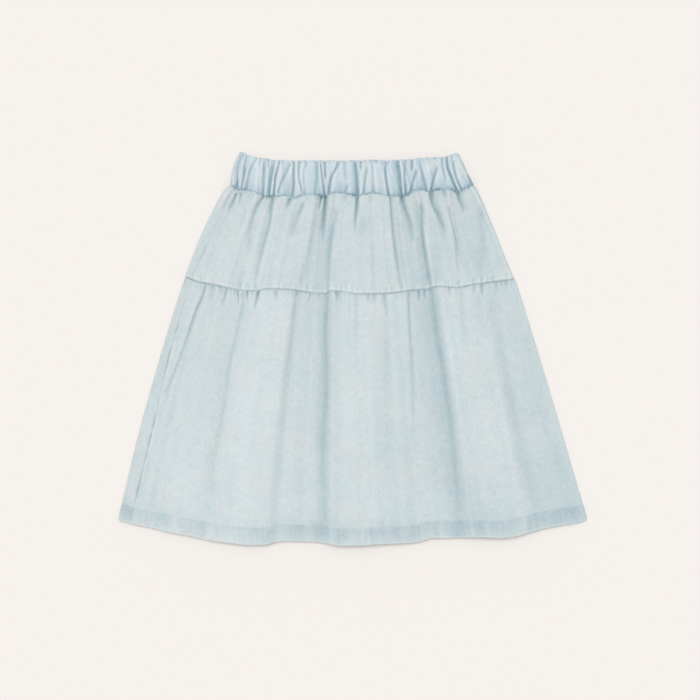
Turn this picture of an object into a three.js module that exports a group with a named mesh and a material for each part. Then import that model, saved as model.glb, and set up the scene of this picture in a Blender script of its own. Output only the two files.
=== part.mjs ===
// A child's pull-on denim skirt, laid flat on its back on a surface.
// An elastic runs in a folded casing at the waist, an upper tier is gathered under
// it, and a longer lower tier is gathered onto the upper one and ends in a turned hem.
// Millimetres. +Y runs towards the waist, +Z is up off the surface, and +X is the
// side of the skirt on the wearer's left, as the front faces up.
import * as THREE from 'three';

// ---------------------------------------------------------------- driving sizes
const WALL = 1.2;             // the gathered cloth, as a wall
const SEAM_GAP = 0.3;         // clearance between pieces that are sewn together
const HEM_DEPTH = 18;         // the turned and stitched hem
const HEM_WALL = 2.4;         // the cloth is double there

const CASING_HEIGHT = 36;     // from the waist seam to the root of the folded upper edge
const ELASTIC_WIDTH = 31;     // flat elastic inside the casing
const ELASTIC_THICK = 1.5;
const GATHER_DEPTH = 1.5;     // how far the casing's gathers sink between the crests

// The flattened casing, from its outer face inwards: cloth, gathers, elastic, cloth.
const ELASTIC_INSET = WALL + GATHER_DEPTH + SEAM_GAP;
const CASING_THICK = ELASTIC_INSET + ELASTIC_THICK + SEAM_GAP + WALL;
const WAIST_HEIGHT = 2 * CASING_THICK + 0.4;   // front and back casing, laid on each other

const TURN_STEPS = 5;         // facets round each side fold of the flattened tube

// ---------------------------------------------------------------- lines across the skirt
// Each line is where one piece ends and the next begins. It dips in the middle, and
// the folds lift the hem where they rise. Columns: x, y.
const WAIST_TOP = [
  [-126, 218.5], [-107, 212.3], [-88, 209.3], [36, 209.2], [74, 211.8], [119, 216],
];
const WAIST_SEAM = [
  [-134, 179.3], [-95, 170.8], [-45, 168.2], [10, 169], [60, 172], [100, 175.4], [134, 181.3],
];
const TIER_SEAM = [
  [-185, 80.5], [-148, 71], [-100, 65.7], [-40, 63.4], [0, 62.8], [45, 63.6], [90, 67.4],
  [134, 72], [179, 78],
];
const HEM = [
  [-258, -188], [-201, -201.3], [-135, -214.5], [-96, -216.7], [-80, -211.5], [-47, -212.3],
  [-14, -217.8], [8, -217.8], [63, -214.5], [85, -208], [162, -209], [195, -201.3],
  [228, -193.6], [258, -187],
];

// ---------------------------------------------------------------- folds of the tiers
// A fold line runs down a tier. Between two lines the cloth's upper face passes
// smoothly from one height to the next, so crests, steps and valley floors each have
// a line. Columns: x at the top, middle and bottom of the tier, then the height of the
// upper face above the surface at the same three places.
const LOWER_FOLDS = [
  [-151, -184, -212, 5.2, 4.8, 6.4],    // left shoulder
  [-139, -173, -199, 5.4, 5.8, 8.0],    // low crest beside the left seam
  [-126, -143, -160, 4.5, 3.6, 5.8],    // trough
  [-116, -124, -140, 5.6, 7.2, 8.8],    // first plateau, left
  [-99, -104, -120, 6.2, 8.8, 10.4],    // first plateau, crest
  [-64, -78, -91, 5.6, 6.4, 8.2],       // step, head
  [-60, -74, -86, 4.5, 4.0, 6.0],       // step, foot
  [-38, -40, -36, 4.3, 3.2, 5.6],       // main rise, foot
  [-24, -25, -22, 6.8, 9.8, 11.0],      // main rise, head
  [-3, -1, 6, 7.0, 10.6, 11.6],         // second plateau, crest
  [36, 36, 43, 6.0, 8.0, 9.2],          // second plateau, right
  [61, 65, 72, 5.4, 6.2, 7.8],          // step, head
  [65, 69, 78, 4.5, 4.0, 5.8],          // step, foot
  [82, 92, 109, 4.3, 3.2, 5.6],         // second rise, foot
  [94, 107, 127, 6.6, 9.2, 10.4],       // second rise, head
  [116, 129, 149, 6.8, 9.4, 10.4],      // third plateau, crest
  [135, 153, 175, 5.6, 7.0, 8.6],       // third plateau, right
  [151, 178, 212, 4.8, 4.6, 6.4],       // right slope
];
// The upper tier's lines end on the tier seam, at the lower tier's height there.
// Columns: x at the waist and at the tier seam, then the height between the two.
const UPPER_FOLDS = [
  [-122, -161, 5.2],
  [-108, -131, 6.4],
  [-89, -106, 4.0],
  [-70, -86, 6.8],
  [-44, -63, 6.0],
  [-40, -59, 4.2],
  [-25, -38, 3.8],
  [-16, -22, 6.8],
  [0, 0, 7.4],
  [40, 51, 5.6],
  [45, 56, 4.4],
  [72, 80, 3.6],
  [80, 93, 6.8],
  [96, 112, 7.0],
  [110, 117, 5.6],
  [114, 123, 4.8],
];
// Under the plateaus the back panel stands off the surface in long arches.
// Columns: x at the top and the bottom of the tier, half width, rise.
const LOWER_ARCHES = [
  [-99, -120, 16, 1.6],
  [2, 14, 22, 2.4],
  [110, 144, 16, 1.8],
];
const UPPER_ARCHES = [
  [-76, -84, 12, 1.2],
  [0, 2, 15, 1.6],
  [92, 106, 11, 1.2],
];

// ---------------------------------------------------------------- small helpers
const lerp = (a, b, t) => a + (b - a) * t;

function smoothstep(low, high, value) {
  const t = Math.min(1, Math.max(0, (value - low) / (high - low)));
  return t * t * (3 - 2 * t);
}

// A value that takes three given values at the top, the middle and the bottom of a tier.
function throughThree(top, middle, bottom, v) {
  return lerp(top, bottom, v) + 4 * v * (1 - v) * (middle - (top + bottom) / 2);
}

// The height of a line at x, by a smooth curve through its points.
function lineAt(points, x) {
  const last = points.length - 1;
  if (x <= points[0][0]) return points[0][1];
  if (x >= points[last][0]) return points[last][1];
  const i = points.findIndex((point) => point[0] > x) - 1;
  const slope = (k) => {
    const before = points[Math.max(0, k - 1)];
    const after = points[Math.min(last, k + 1)];
    return (after[1] - before[1]) / (after[0] - before[0]);
  };
  const width = points[i + 1][0] - points[i][0];
  const t = (x - points[i][0]) / width;
  const ease = t * t * (3 - 2 * t);
  return lerp(points[i][1], points[i + 1][1], ease)
    + width * (t * (1 - t) * (1 - t) * slope(i) - t * t * (1 - t) * slope(i + 1));
}

// ---------------------------------------------------------------- the flattened tube
// Every piece lies on a flattened tube: a top run, a turn at the right fold, a bottom
// run on the surface, and a turn at the left fold. A section gives the tube at one
// level: its folds, its height at the folds, the line it follows, and the heights of
// its two runs. A spot on the section is { run, x } or { turn, angle }, and depth is how
// far inside the outer face the point lies.
function onTube(section, spot, depth) {
  const { left, right, foldHeight, lineY, top, bottom } = section;
  const radius = foldHeight / 2;
  if (spot.turn) {
    const centre = spot.turn === 'right' ? right - radius : left + radius;
    const side = spot.turn === 'right' ? 1 : -1;
    const x = centre + side * (radius - depth) * Math.cos(spot.angle);
    return new THREE.Vector3(x, lineY(x), radius + (radius - depth) * Math.sin(spot.angle));
  }
  const z = spot.run === 'top' ? top(spot.x) - depth : bottom(spot.x) + depth;
  return new THREE.Vector3(spot.x, lineY(spot.x), z);
}

// The spots round one fold, from the top run down to the bottom run.
function turnSpots(turn) {
  const spots = [];
  for (let k = 1; k < TURN_STEPS; k += 1) {
    spots.push({ turn, angle: Math.PI * (0.5 - k / TURN_STEPS) });
  }
  return spots;
}

// A cloth wall from a grid of points on its outer face. The inner face lies a wall's
// thickness inside, along the grid's own normals. Rows run round the tube, and the
// outer face is on the left of a row seen along it, with the next row ahead.
function clothWall(name, material, rows, thicknessOfRow) {
  const count = rows[0].length;
  const positions = [];
  const put = (point) => positions.push(point.x, point.y, point.z);
  rows.forEach((row) => row.forEach(put));
  rows.forEach((row, j) => row.forEach((point, i) => {
    const along = rows[j][Math.min(count - 1, i + 1)].clone().sub(rows[j][Math.max(0, i - 1)]);
    const across = rows[Math.min(rows.length - 1, j + 1)][i].clone()
      .sub(rows[Math.max(0, j - 1)][i]);
    const normal = along.cross(across).normalize();
    put(point.clone().addScaledVector(normal, -thicknessOfRow(j)));
  }));
  const inner = rows.length * count;
  const index = [];
  const quad = (a, b, c, d) => index.push(a, b, c, a, c, d);
  for (let j = 0; j + 1 < rows.length; j += 1) {
    for (let i = 0; i + 1 < count; i += 1) {
      const a = j * count + i;
      const c = a + count;
      quad(a, a + 1, c + 1, c);
      quad(inner + a, inner + c, inner + c + 1, inner + a + 1);
    }
  }
  for (let i = 0; i + 1 < count; i += 1) {
    const c = (rows.length - 1) * count + i;
    quad(i, inner + i, inner + i + 1, i + 1);
    quad(c, c + 1, inner + c + 1, inner + c);
  }
  for (let j = 0; j + 1 < rows.length; j += 1) {
    const a = j * count;
    const b = a + count - 1;
    quad(a, a + count, inner + a + count, inner + a);
    quad(b, inner + b, inner + b + count, b + count);
  }
  return solidMesh(name, material, positions, index);
}

function solidMesh(name, material, positions, index) {
  const geometry = new THREE.BufferGeometry();
  geometry.setAttribute('position', new THREE.Float32BufferAttribute(positions, 3));
  geometry.setIndex(index);
  geometry.computeVertexNormals();
  const mesh = new THREE.Mesh(geometry, material);
  mesh.name = name;
  return mesh;
}

// ---------------------------------------------------------------- materials
const denim = new THREE.MeshStandardMaterial({ color: 0xccd8da, roughness: 0.9, metalness: 0 });
const elasticWeb = new THREE.MeshStandardMaterial({ color: 0xeeeeea, roughness: 0.8, metalness: 0 });

// ---------------------------------------------------------------- side seams
// The left seam has rolled onto the front, and the right one under the back. Each
// distance is measured in from the fold.
const WAIST_SEAM_INSET = 9;
const RIGHT_SEAM_INSET = 14;
const upperLeftInset = (v) => lerp(8, 9, v);
const lowerLeftInset = (v) => throughThree(9, 17, 14, v);

// ---------------------------------------------------------------- waistband casing
const CASING_GATHERS = 25;    // troughs across the front, and as many across the back

function waistSection(v) {
  const left = lerp(-126, -134, v);
  const right = lerp(119, 134, v);
  const lineY = (x) => {
    const share = (x - left) / (right - left);
    const topY = lineAt(WAIST_TOP, lerp(-126, 119, share));
    const seamY = lineAt(WAIST_SEAM, lerp(-134, 134, share)) + SEAM_GAP / 2;
    return lerp(topY - CASING_THICK / 2, seamY, v);
  };
  return {
    left, right, lineY, foldHeight: WAIST_HEIGHT, top: () => WAIST_HEIGHT, bottom: () => 0,
  };
}

// Crests and troughs alternate along a run, unevenly spaced and unevenly deep.
// Each entry is a share of the run and the depth of the cloth there.
function casingGathers(seed) {
  const marks = [{ share: 0, depth: 0 }];
  for (let k = 0; k < CASING_GATHERS; k += 1) {
    const trough = (k + 0.5 + 0.2 * Math.sin(2.4 * k + seed)) / CASING_GATHERS;
    const crest = (k + 1 + 0.16 * Math.sin(1.7 * k + seed)) / CASING_GATHERS;
    const depth = GATHER_DEPTH * (0.68 + 0.32 * Math.sin(3.1 * k + 2 * seed));
    marks.push({ share: trough, depth });
    marks.push({ share: Math.min(1, crest), depth: 0 });
  }
  marks[marks.length - 1].share = 1;
  return marks;
}

const TOP_FOLD_STEPS = 3;     // facets over the folded upper edge of the casing

// The strip runs up the outside of the casing, over its upper edge, and down inside.
function casingRows(spotsOf, startEdge, endEdge) {
  const rows = [];
  const reach = CASING_THICK / 2;
  const addRow = (v, lift, depthShare, gatherShare) => {
    const section = waistSection(v);
    rows.push(spotsOf(section).map(({ spot, gather }) => {
      const depth = CASING_THICK * depthShare + gather * gatherShare;
      const point = onTube(section, spot, depth);
      point.y += lift;
      return point;
    }));
  };
  [1, 0.5, 0].forEach((v) => addRow(v, 0, 0, 1));
  for (let k = 1; k < TOP_FOLD_STEPS; k += 1) {
    const turn = (Math.PI * k) / TOP_FOLD_STEPS;
    addRow(0, reach * Math.sin(turn), (1 - Math.cos(turn)) / 2, 1 - k / TOP_FOLD_STEPS);
  }
  [0, 1].forEach((v) => addRow(v, 0, 1, 0));
  return rows;
}

function makeWaistbandFront() {
  const gathers = casingGathers(0.4);
  const spotsOf = ({ left, right }) => {
    const start = left + WAIST_SEAM_INSET + SEAM_GAP / 2;
    const end = right - WAIST_HEIGHT / 2;
    const top = gathers.map(({ share, depth }) => (
      { spot: { run: 'top', x: lerp(start, end, share) }, gather: depth }));
    const turn = turnSpots('right').map((spot) => ({ spot, gather: 0 }));
    const under = [end, right - RIGHT_SEAM_INSET + SEAM_GAP / 2]
      .map((x) => ({ spot: { run: 'bottom', x }, gather: 0 }));
    return [...top, ...turn, ...under];
  };
  return clothWall('waistband_front', denim, casingRows(spotsOf), () => WALL);
}

function makeWaistbandBack() {
  const gathers = casingGathers(2.1);
  const spotsOf = ({ left, right }) => {
    const start = right - RIGHT_SEAM_INSET - SEAM_GAP / 2;
    const end = left + WAIST_HEIGHT / 2;
    const under = gathers.map(({ share, depth }) => (
      { spot: { run: 'bottom', x: lerp(start, end, share) }, gather: depth }));
    const turn = turnSpots('left').reverse().map((spot) => ({ spot, gather: 0 }));
    const top = [end, left + WAIST_SEAM_INSET - SEAM_GAP / 2]
      .map((x) => ({ spot: { run: 'top', x }, gather: 0 }));
    return [...under, ...turn, ...top];
  };
  return clothWall('waistband_back', denim, casingRows(spotsOf), () => WALL);
}

// The elastic is one closed band, flattened with the casing and clear of it all round.
const ELASTIC_RUN_STEPS = 12;

function elasticSpots({ left, right }) {
  const runLeft = left + WAIST_HEIGHT / 2;
  const runRight = right - WAIST_HEIGHT / 2;
  const run = (name, start, end) => Array.from({ length: ELASTIC_RUN_STEPS + 1 }, (_, k) => (
    { run: name, x: lerp(start, end, k / ELASTIC_RUN_STEPS) }));
  return [
    ...run('top', runLeft, runRight),
    ...turnSpots('right'),
    ...run('bottom', runRight, runLeft),
    ...turnSpots('left').reverse(),
  ];
}

function makeElastic() {
  const spare = (1 - ELASTIC_WIDTH / CASING_HEIGHT) / 2;
  const upperEdge = waistSection(spare);
  const lowerEdge = waistSection(1 - spare);
  const corners = [
    [upperEdge, 0], [lowerEdge, 0], [lowerEdge, ELASTIC_THICK], [upperEdge, ELASTIC_THICK],
  ];
  const positions = [];
  const index = [];
  const count = elasticSpots(upperEdge).length;
  for (let i = 0; i < count; i += 1) {
    const next = (i + 1) % count;
    corners.forEach(([section, depth], k) => {
      const point = onTube(section, elasticSpots(section)[i], ELASTIC_INSET + depth);
      positions.push(point.x, point.y, point.z);
      const along = (k + 1) % corners.length;
      index.push(i * 4 + k, i * 4 + along, next * 4 + along);
      index.push(i * 4 + k, next * 4 + along, next * 4 + k);
    });
  }
  return solidMesh('elastic', elasticWeb, positions, index);
}

// ---------------------------------------------------------------- tiers
// The height of the upper face between fold lines, at one level of a tier.
function foldHeightAt(marks, x) {
  const last = marks.length - 1;
  if (x <= marks[0].x) return marks[0].z;
  if (x >= marks[last].x) return marks[last].z;
  const i = marks.findIndex((mark) => mark.x > x) - 1;
  return lerp(marks[i].z, marks[i + 1].z, smoothstep(marks[i].x, marks[i + 1].x, x));
}

// How far the back panel stands off the surface at x.
function archAt(arches, x, v, fade) {
  return arches.reduce((most, [topX, bottomX, halfWidth, rise]) => {
    const away = Math.abs(x - lerp(topX, bottomX, v)) / halfWidth;
    return Math.max(most, rise * fade * (1 - smoothstep(0, 1, away)));
  }, 0);
}

// The side folds of the lower tier bow out a little between the seam and the hem.
function lowerSection(v) {
  const left = lerp(-184.8, -258, v) - 4 * 4.6 * v * (1 - v);
  const right = lerp(178.8, 258, v) + 4 * 1.3 * v * (1 - v);
  const hemShare = smoothstep(0.88, 0.93, v);
  const foldHeight = 3.6 + 0.8 * Math.exp(-v / 0.06) + 2 * hemShare;
  const lineY = (x) => {
    const share = (x - left) / (right - left);
    const seamY = lineAt(TIER_SEAM, lerp(-185, 179, share)) - SEAM_GAP / 2;
    return lerp(seamY, lineAt(HEM, lerp(-258, 258, share)), v);
  };
  const marks = LOWER_FOLDS.map(([x0, x1, x2, z0, z1, z2]) => (
    { x: throughThree(x0, x1, x2, v), z: throughThree(z0, z1, z2, v) }));
  marks.unshift({ x: left + lowerLeftInset(v) + 4, z: foldHeight });
  marks.push({ x: right - foldHeight / 2 - 6, z: foldHeight });
  return {
    left, right, foldHeight, lineY, marks,
    top: (x) => foldHeightAt(marks, x),
    bottom: (x) => archAt(LOWER_ARCHES, x, v, smoothstep(0, 0.25, v)),
  };
}

const UPPER_LEVELS = [0, 0.03, 0.1, 0.2, 0.32, 0.5, 0.75, 1];

// Under the casing the upper tier springs outwards and comes down off the waist's height.
function upperSection(v) {
  const spring = (1 - v) * (1 - Math.exp(-v / 0.04));
  const left = lerp(-134, -184.8, v) - 10 * spring;
  const right = lerp(134, 178.8, v) + 4.5 * spring;
  const fall = 1 - smoothstep(UPPER_LEVELS[1], 0.42, v);
  const foldHeight = 4.4 + (WAIST_HEIGHT - 4.4) * fall;
  const lineY = (x) => {
    const share = (x - left) / (right - left);
    const waistY = lineAt(WAIST_SEAM, lerp(-134, 134, share)) - SEAM_GAP / 2;
    const seamY = lineAt(TIER_SEAM, lerp(-185, 179, share)) + SEAM_GAP / 2;
    return lerp(waistY, seamY, v);
  };
  const tierSeam = lowerSection(0);
  const toSeam = smoothstep(0.45, 1, v);
  const marks = UPPER_FOLDS.map(([x0, x1, z]) => {
    const height = lerp(z, tierSeam.top(x1), toSeam);
    return { x: lerp(x0, x1, v), z: lerp(height, WAIST_HEIGHT, fall) };
  });
  marks.unshift({ x: left + upperLeftInset(v) + 3, z: foldHeight });
  marks.push({ x: right - foldHeight / 2 - 5, z: foldHeight });
  return {
    left, right, foldHeight, lineY, marks,
    top: (x) => foldHeightAt(marks, x),
    bottom: (x) => archAt(UPPER_ARCHES, x, v, smoothstep(0, 0.3, v) * smoothstep(0, 0.3, 1 - v)),
  };
}

// Spots along the top run: one on each fold line, and more where two lie far apart.
const MAX_STEP = 12;

function topSpots(section, start, end, stepCounts) {
  const stops = [start, ...section.marks.map((mark) => mark.x), end];
  const spots = [];
  stops.slice(0, -1).forEach((x, i) => {
    for (let k = 0; k < stepCounts[i]; k += 1) {
      spots.push({ run: 'top', x: lerp(x, stops[i + 1], k / stepCounts[i]) });
    }
  });
  spots.push({ run: 'top', x: end });
  return spots;
}

function stepsBetween(section, start, end) {
  const stops = [start, ...section.marks.map((mark) => mark.x), end];
  return stops.slice(0, -1).map((x, i) => Math.max(1, Math.round((stops[i + 1] - x) / MAX_STEP)));
}

function bottomSpots(start, end, steps) {
  return Array.from({ length: steps + 1 }, (_, k) => (
    { run: 'bottom', x: lerp(start, end, k / steps) }));
}

function makeTierFront(name, sectionAt, leftInset, levels, thicknessOfRow) {
  const middle = sectionAt(0.6);
  const startOf = (section, v) => section.left + leftInset(v) + SEAM_GAP / 2;
  const endOf = (section) => section.right - section.foldHeight / 2;
  const stepCounts = stepsBetween(middle, startOf(middle, 0.6), endOf(middle));
  const rows = levels.map((v) => {
    const section = sectionAt(v);
    const end = endOf(section);
    const spots = [
      ...topSpots(section, startOf(section, v), end, stepCounts),
      ...turnSpots('right'),
      ...bottomSpots(end, section.right - RIGHT_SEAM_INSET + SEAM_GAP / 2, 1),
    ];
    return spots.map((spot) => onTube(section, spot, 0));
  });
  return clothWall(name, denim, rows.reverse(), (j) => thicknessOfRow(rows.length - 1 - j));
}

const BACK_STEPS = 30;

function makeTierBack(name, sectionAt, leftInset, levels, thicknessOfRow) {
  const rows = levels.map((v) => {
    const section = sectionAt(v);
    const end = section.left + section.foldHeight / 2;
    const start = section.right - RIGHT_SEAM_INSET - SEAM_GAP / 2;
    const topEnd = section.left + leftInset(v) - SEAM_GAP / 2;
    const spots = [
      ...bottomSpots(start, end, BACK_STEPS),
      ...turnSpots('left').reverse(),
      { run: 'top', x: end },
      { run: 'top', x: topEnd },
    ];
    return spots.map((spot) => onTube(section, spot, 0));
  });
  return clothWall(name, denim, rows.reverse(), (j) => thicknessOfRow(rows.length - 1 - j));
}

const HEM_START = 1 - HEM_DEPTH / 272;
const LOWER_LEVELS = [0, 0.1, 0.24, 0.4, 0.56, 0.72, 0.86, HEM_START, 1];
const upperWall = () => WALL;
const lowerWall = (row) => (LOWER_LEVELS[row] >= HEM_START ? HEM_WALL : WALL);

// ---------------------------------------------------------------- the skirt
const skirt = new THREE.Group();
skirt.name = 'denim_skirt';
skirt.add(makeWaistbandFront());
skirt.add(makeWaistbandBack());
skirt.add(makeElastic());
skirt.add(makeTierFront('upper_front', upperSection, upperLeftInset, UPPER_LEVELS, upperWall));
skirt.add(makeTierBack('upper_back', upperSection, upperLeftInset, UPPER_LEVELS, upperWall));
skirt.add(makeTierFront('lower_front', lowerSection, lowerLeftInset, LOWER_LEVELS, lowerWall));
skirt.add(makeTierBack('lower_back', lowerSection, lowerLeftInset, LOWER_LEVELS, lowerWall));

// The origin is the middle of the skirt's extent, on the surface it lies on.
const extent = new THREE.Box3().setFromObject(skirt);
const middleOfExtent = extent.getCenter(new THREE.Vector3());
skirt.position.set(-middleOfExtent.x, -middleOfExtent.y, -extent.min.z);

export default skirt;
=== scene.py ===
import math

import bmesh
import bpy
import numpy as np
from mathutils import Matrix, Vector


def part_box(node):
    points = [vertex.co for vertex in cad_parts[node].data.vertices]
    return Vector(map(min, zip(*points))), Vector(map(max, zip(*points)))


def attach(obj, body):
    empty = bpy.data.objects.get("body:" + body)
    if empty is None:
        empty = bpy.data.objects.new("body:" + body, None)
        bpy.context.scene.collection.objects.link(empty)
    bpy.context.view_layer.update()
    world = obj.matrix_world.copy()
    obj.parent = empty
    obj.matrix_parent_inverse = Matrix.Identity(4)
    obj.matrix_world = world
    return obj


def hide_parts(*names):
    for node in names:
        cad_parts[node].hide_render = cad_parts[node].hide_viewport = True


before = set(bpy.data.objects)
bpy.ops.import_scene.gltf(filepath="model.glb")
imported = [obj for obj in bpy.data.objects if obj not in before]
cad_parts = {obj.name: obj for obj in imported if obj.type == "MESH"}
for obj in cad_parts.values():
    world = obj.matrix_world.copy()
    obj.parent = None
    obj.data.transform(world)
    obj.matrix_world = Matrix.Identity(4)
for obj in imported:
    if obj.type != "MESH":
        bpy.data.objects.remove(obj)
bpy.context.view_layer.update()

# ---------------------------------------------------------------- waistband casing
# Two strips of light denim, front and back, joined at the sides into a ring and folded
# lengthwise over the elastic. The elastic draws them into uneven upright gathers, and
# one line of stitching near the lower edge closes the casing.

MM = 0.001
CLOTH = 0.6                     # thickness of the cloth; lengths here are in millimetres
WAIST_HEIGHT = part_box("waistband_front")[1][2] / MM     # both casings, one on the other
CASING_TOP = WAIST_HEIGHT - 0.5  # the height of the front casing's smooth face
CASING_THICK = 5.8              # one casing, through its two layers and the elastic
CASING_FOLD = CASING_THICK / 2  # radius of the folded upper edge
CASING_LENGTH = 36.0            # from the root of that fold to the seam
RIGHT_SEAM_IN = 14.0            # the right side seam has rolled this far under the back
WAIST_SEAM_IN = 4.5             # and the left one this far onto the front
SEAM_GAP = 0.03                 # half the width of the ditch where two pieces are sewn
TUCK_UNDER = [(1.8, 0.9), (0.5, 0.8), (0.1, 0.3)]     # a seam's lower edge: reach, depth
TUCK_OVER = (0.1, 0.25)         # and its upper one
REACH = 400.0                   # every place on the skirt is nearer to the middle than this

# Lines across the skirt, from the left fold to the right one: x, y.
WAIST_TOP = [
    (-125.5, 217.8), (-119, 216.2), (-113, 213.9), (-107, 212.3), (-96, 211.1), (-86, 209.2),
    (-30, 208.6), (36, 209.0), (63, 210.3), (74, 211.2), (96, 212.6), (108, 214.6), (114, 216.6),
    (118, 216.2),
]
WAIST_SEAM = [
    (-134, 181.6), (-129, 177.4), (-125, 175.8), (-117, 175), (-109, 173.6), (-98, 168.6), (-86, 167.6),
    (-76, 169), (-64, 166.8), (-47, 170.4), (-34, 168.9), (-19, 172.2), (-8, 171), (6, 169.2),
    (22, 171.6), (42, 168.8), (60, 170), (66, 174.6), (76, 175.6), (85, 173.4), (93, 175.6),
    (108, 175.8), (115, 173), (122, 176.2), (134, 181.4),
]


def lerp(start, end, share):
    return start + (end - start) * share


def ease(low, high, value):
    """0 below low, 1 above high, and a smooth rise between."""
    share = np.clip((value - low) / (high - low), 0, 1)
    return share * share * (3 - 2 * share)


def smooth_curve(stops, heights, at):
    """A smooth curve through heights at rising stops, which never overshoots them."""
    places = np.asarray(stops, float)
    values = np.asarray(heights, float)
    gaps = np.diff(places)
    rises = np.diff(values) / gaps
    slopes = np.concatenate([rises[:1], np.zeros(len(rises) - 1), rises[-1:]])
    before, after = rises[:-1], rises[1:]
    steady = before * after > 0
    near, far = 2 * gaps[1:] + gaps[:-1], gaps[1:] + 2 * gaps[:-1]
    slopes[1:-1][steady] = ((near + far) / (near / np.where(steady, before, 1)
                                            + far / np.where(steady, after, 1)))[steady]
    i = np.clip(np.searchsorted(places, at, side="right") - 1, 0, len(gaps) - 1)
    t = np.clip((at - places[i]) / gaps[i], 0, 1)
    rise = lerp(values[i], values[i + 1], t * t * (3 - 2 * t))
    return rise + gaps[i] * t * (1 - t) * ((1 - t) * slopes[i] - t * slopes[i + 1])


def along(points, place):
    """The value of a line of (place, value) points at one place or many."""
    places, values = np.array(points, float).T
    return smooth_curve(places, values, place)


def part_way(points, share):
    """The place share of the way from a line's first point to its last, and its value there."""
    place = lerp(points[0][0], points[-1][0], share)
    return place, along(points, place)


def uneven(seed, places, pitch):
    """A smooth uneven run of values from -1 to 1, with a new value about every pitch."""
    order = np.random.default_rng(seed)
    knots = np.arange(-REACH, REACH, pitch)
    knots = knots + order.uniform(-0.3, 0.3, len(knots)) * pitch
    return smooth_curve(knots, order.uniform(-1, 1, len(knots)), places)


CREASE_POWER = 1.2              # 2 is a round-bottomed trough, 1 a sharp one
CREASE_CORE = 0.65              # half the width of the sharp line along a crease's bottom


def crease_field(creases, x, y, flare):
    """How deep the cloth sinks at each x, y, and how near that is to a sharp bottom line, from
    0 to 1. A crease is its path, from where it is pinched to where it runs out; its width to
    the left and right of the path at the pinch; its depth there; and how long it fades at its
    upper and lower ends. At its lower end it is flare times wider, and shallower by as much.
    The deeper and narrower it is, the sharper its bottom."""
    total = np.zeros_like(x)
    sharp = np.zeros_like(x)
    for path, left, right, depth, fade_top, fade_end in creases:
        path_x, path_y = np.array(path, float).T
        drop = path_y[0] - path_y[-1]
        widen = lerp(1, flare, np.clip((path_y[0] - y) / drop, 0, 1))
        slant = math.hypot(1, (path_x[-1] - path_x[0]) / drop)
        away = (x - smooth_curve(-path_y, path_x, -y)) / slant
        across = np.exp(-np.abs(away / widen / np.where(away < 0, left, right)) ** CREASE_POWER)
        within = ease(path_y[-1] - fade_end, path_y[-1] + 0.3 * fade_end, y)
        within = within * (1 - ease(path_y[0] - 0.3 * fade_top, path_y[0] + fade_top, y))
        total += (depth / widen * across * within) ** 3
        keen = np.clip((2 * depth / (left + right) - 0.5) / 1.2, 0, 1)
        sharp = np.maximum(sharp, keen * within / widen * np.exp(-(away / CREASE_CORE) ** 2))
    return np.cbrt(total), sharp


def hollows(height, reach):
    """How far each point lies below the cloth within reach points of it, along its row."""
    wide = np.pad(height, ((0, 0), (reach + 1, reach)), mode="edge")
    total = np.cumsum(wide, axis=1)
    span = 2 * reach + 1
    return (total[:, span:] - total[:, :-span]) / span - height


def eased_limit(value, start, room):
    """The value, but past start it only creeps towards start + room."""
    over = np.maximum(value - start, 0)
    return np.minimum(value, start) + room * np.tanh(over / room)


# Where several gathers are caught together in the waist seam: x, half the width, strength.
WAIST_PINCHES = [
    (-122, 9, 0.9), (-92, 8, 1.0), (-66, 4, 0.5), (-34, 6, 1.1), (1, 7, 0.9), (41, 4, 0.6),
    (55, 8, 1.1), (90, 8, 1.1), (116, 6, 1.0),
]


def pinched(x):
    """How tightly the waist seam gathers the cloth at each x."""
    return sum(strength * np.exp(-((x - place) / half) ** 2)
               for place, half, strength in WAIST_PINCHES)


TUCK_EVERY = 3.4                # from one drawn-in stitch of the waist seam to the next
TUCK_SHARPNESS = 3              # 1 is a gentle wave; more makes narrower tucks


def seam_pits(x):
    """How deep the small upright tucks of the waist seam are, and how dark their painted shadow,
    from 0 to 1.2: they stand a stitch apart, and are deepest where the seam is pinched."""
    turns = x / TUCK_EVERY + 0.35 * uneven(10, x, 7)
    tucks = (0.5 + 0.5 * np.cos(2 * np.pi * turns)) ** TUCK_SHARPNESS
    depth = np.clip(pinched(x) * (0.75 + 0.5 * uneven(9, x, 4)), 0, 1.2)
    return np.clip(1.15 * depth * tucks + 0.25 * uneven(9, x, 2.7), 0, 1.2)


def waist_ditch(x):
    """How deep the waist seam lies between the casing and the upper tier."""
    return 0.9 + 0.3 * uneven(9, x, 2.7) + 0.6 * pinched(x) + 0.6 * seam_pits(x)


def mirrored(creases, share):
    """Like creases for the hidden side of the skirt, share times as deep."""
    return [([(-x, y) for x, y in path], right, left, depth * share, fade_top, fade_end)
            for path, left, right, depth, fade_top, fade_end in creases]


def made_mesh(name, shape, material, smooth=True):
    """A mesh of one material from a bmesh, which is then freed."""
    mesh = bpy.data.meshes.new(name)
    shape.to_mesh(mesh)
    shape.free()
    mesh.polygons.foreach_set("use_smooth", np.full(len(mesh.polygons), smooth))
    mesh.materials.append(material)
    return mesh


def put_in_scene(name, thing):
    """An object for a mesh, a lamp or a camera, linked to the scene."""
    made = bpy.data.objects.new(name, thing)
    bpy.context.scene.collection.objects.link(made)
    return made


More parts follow.
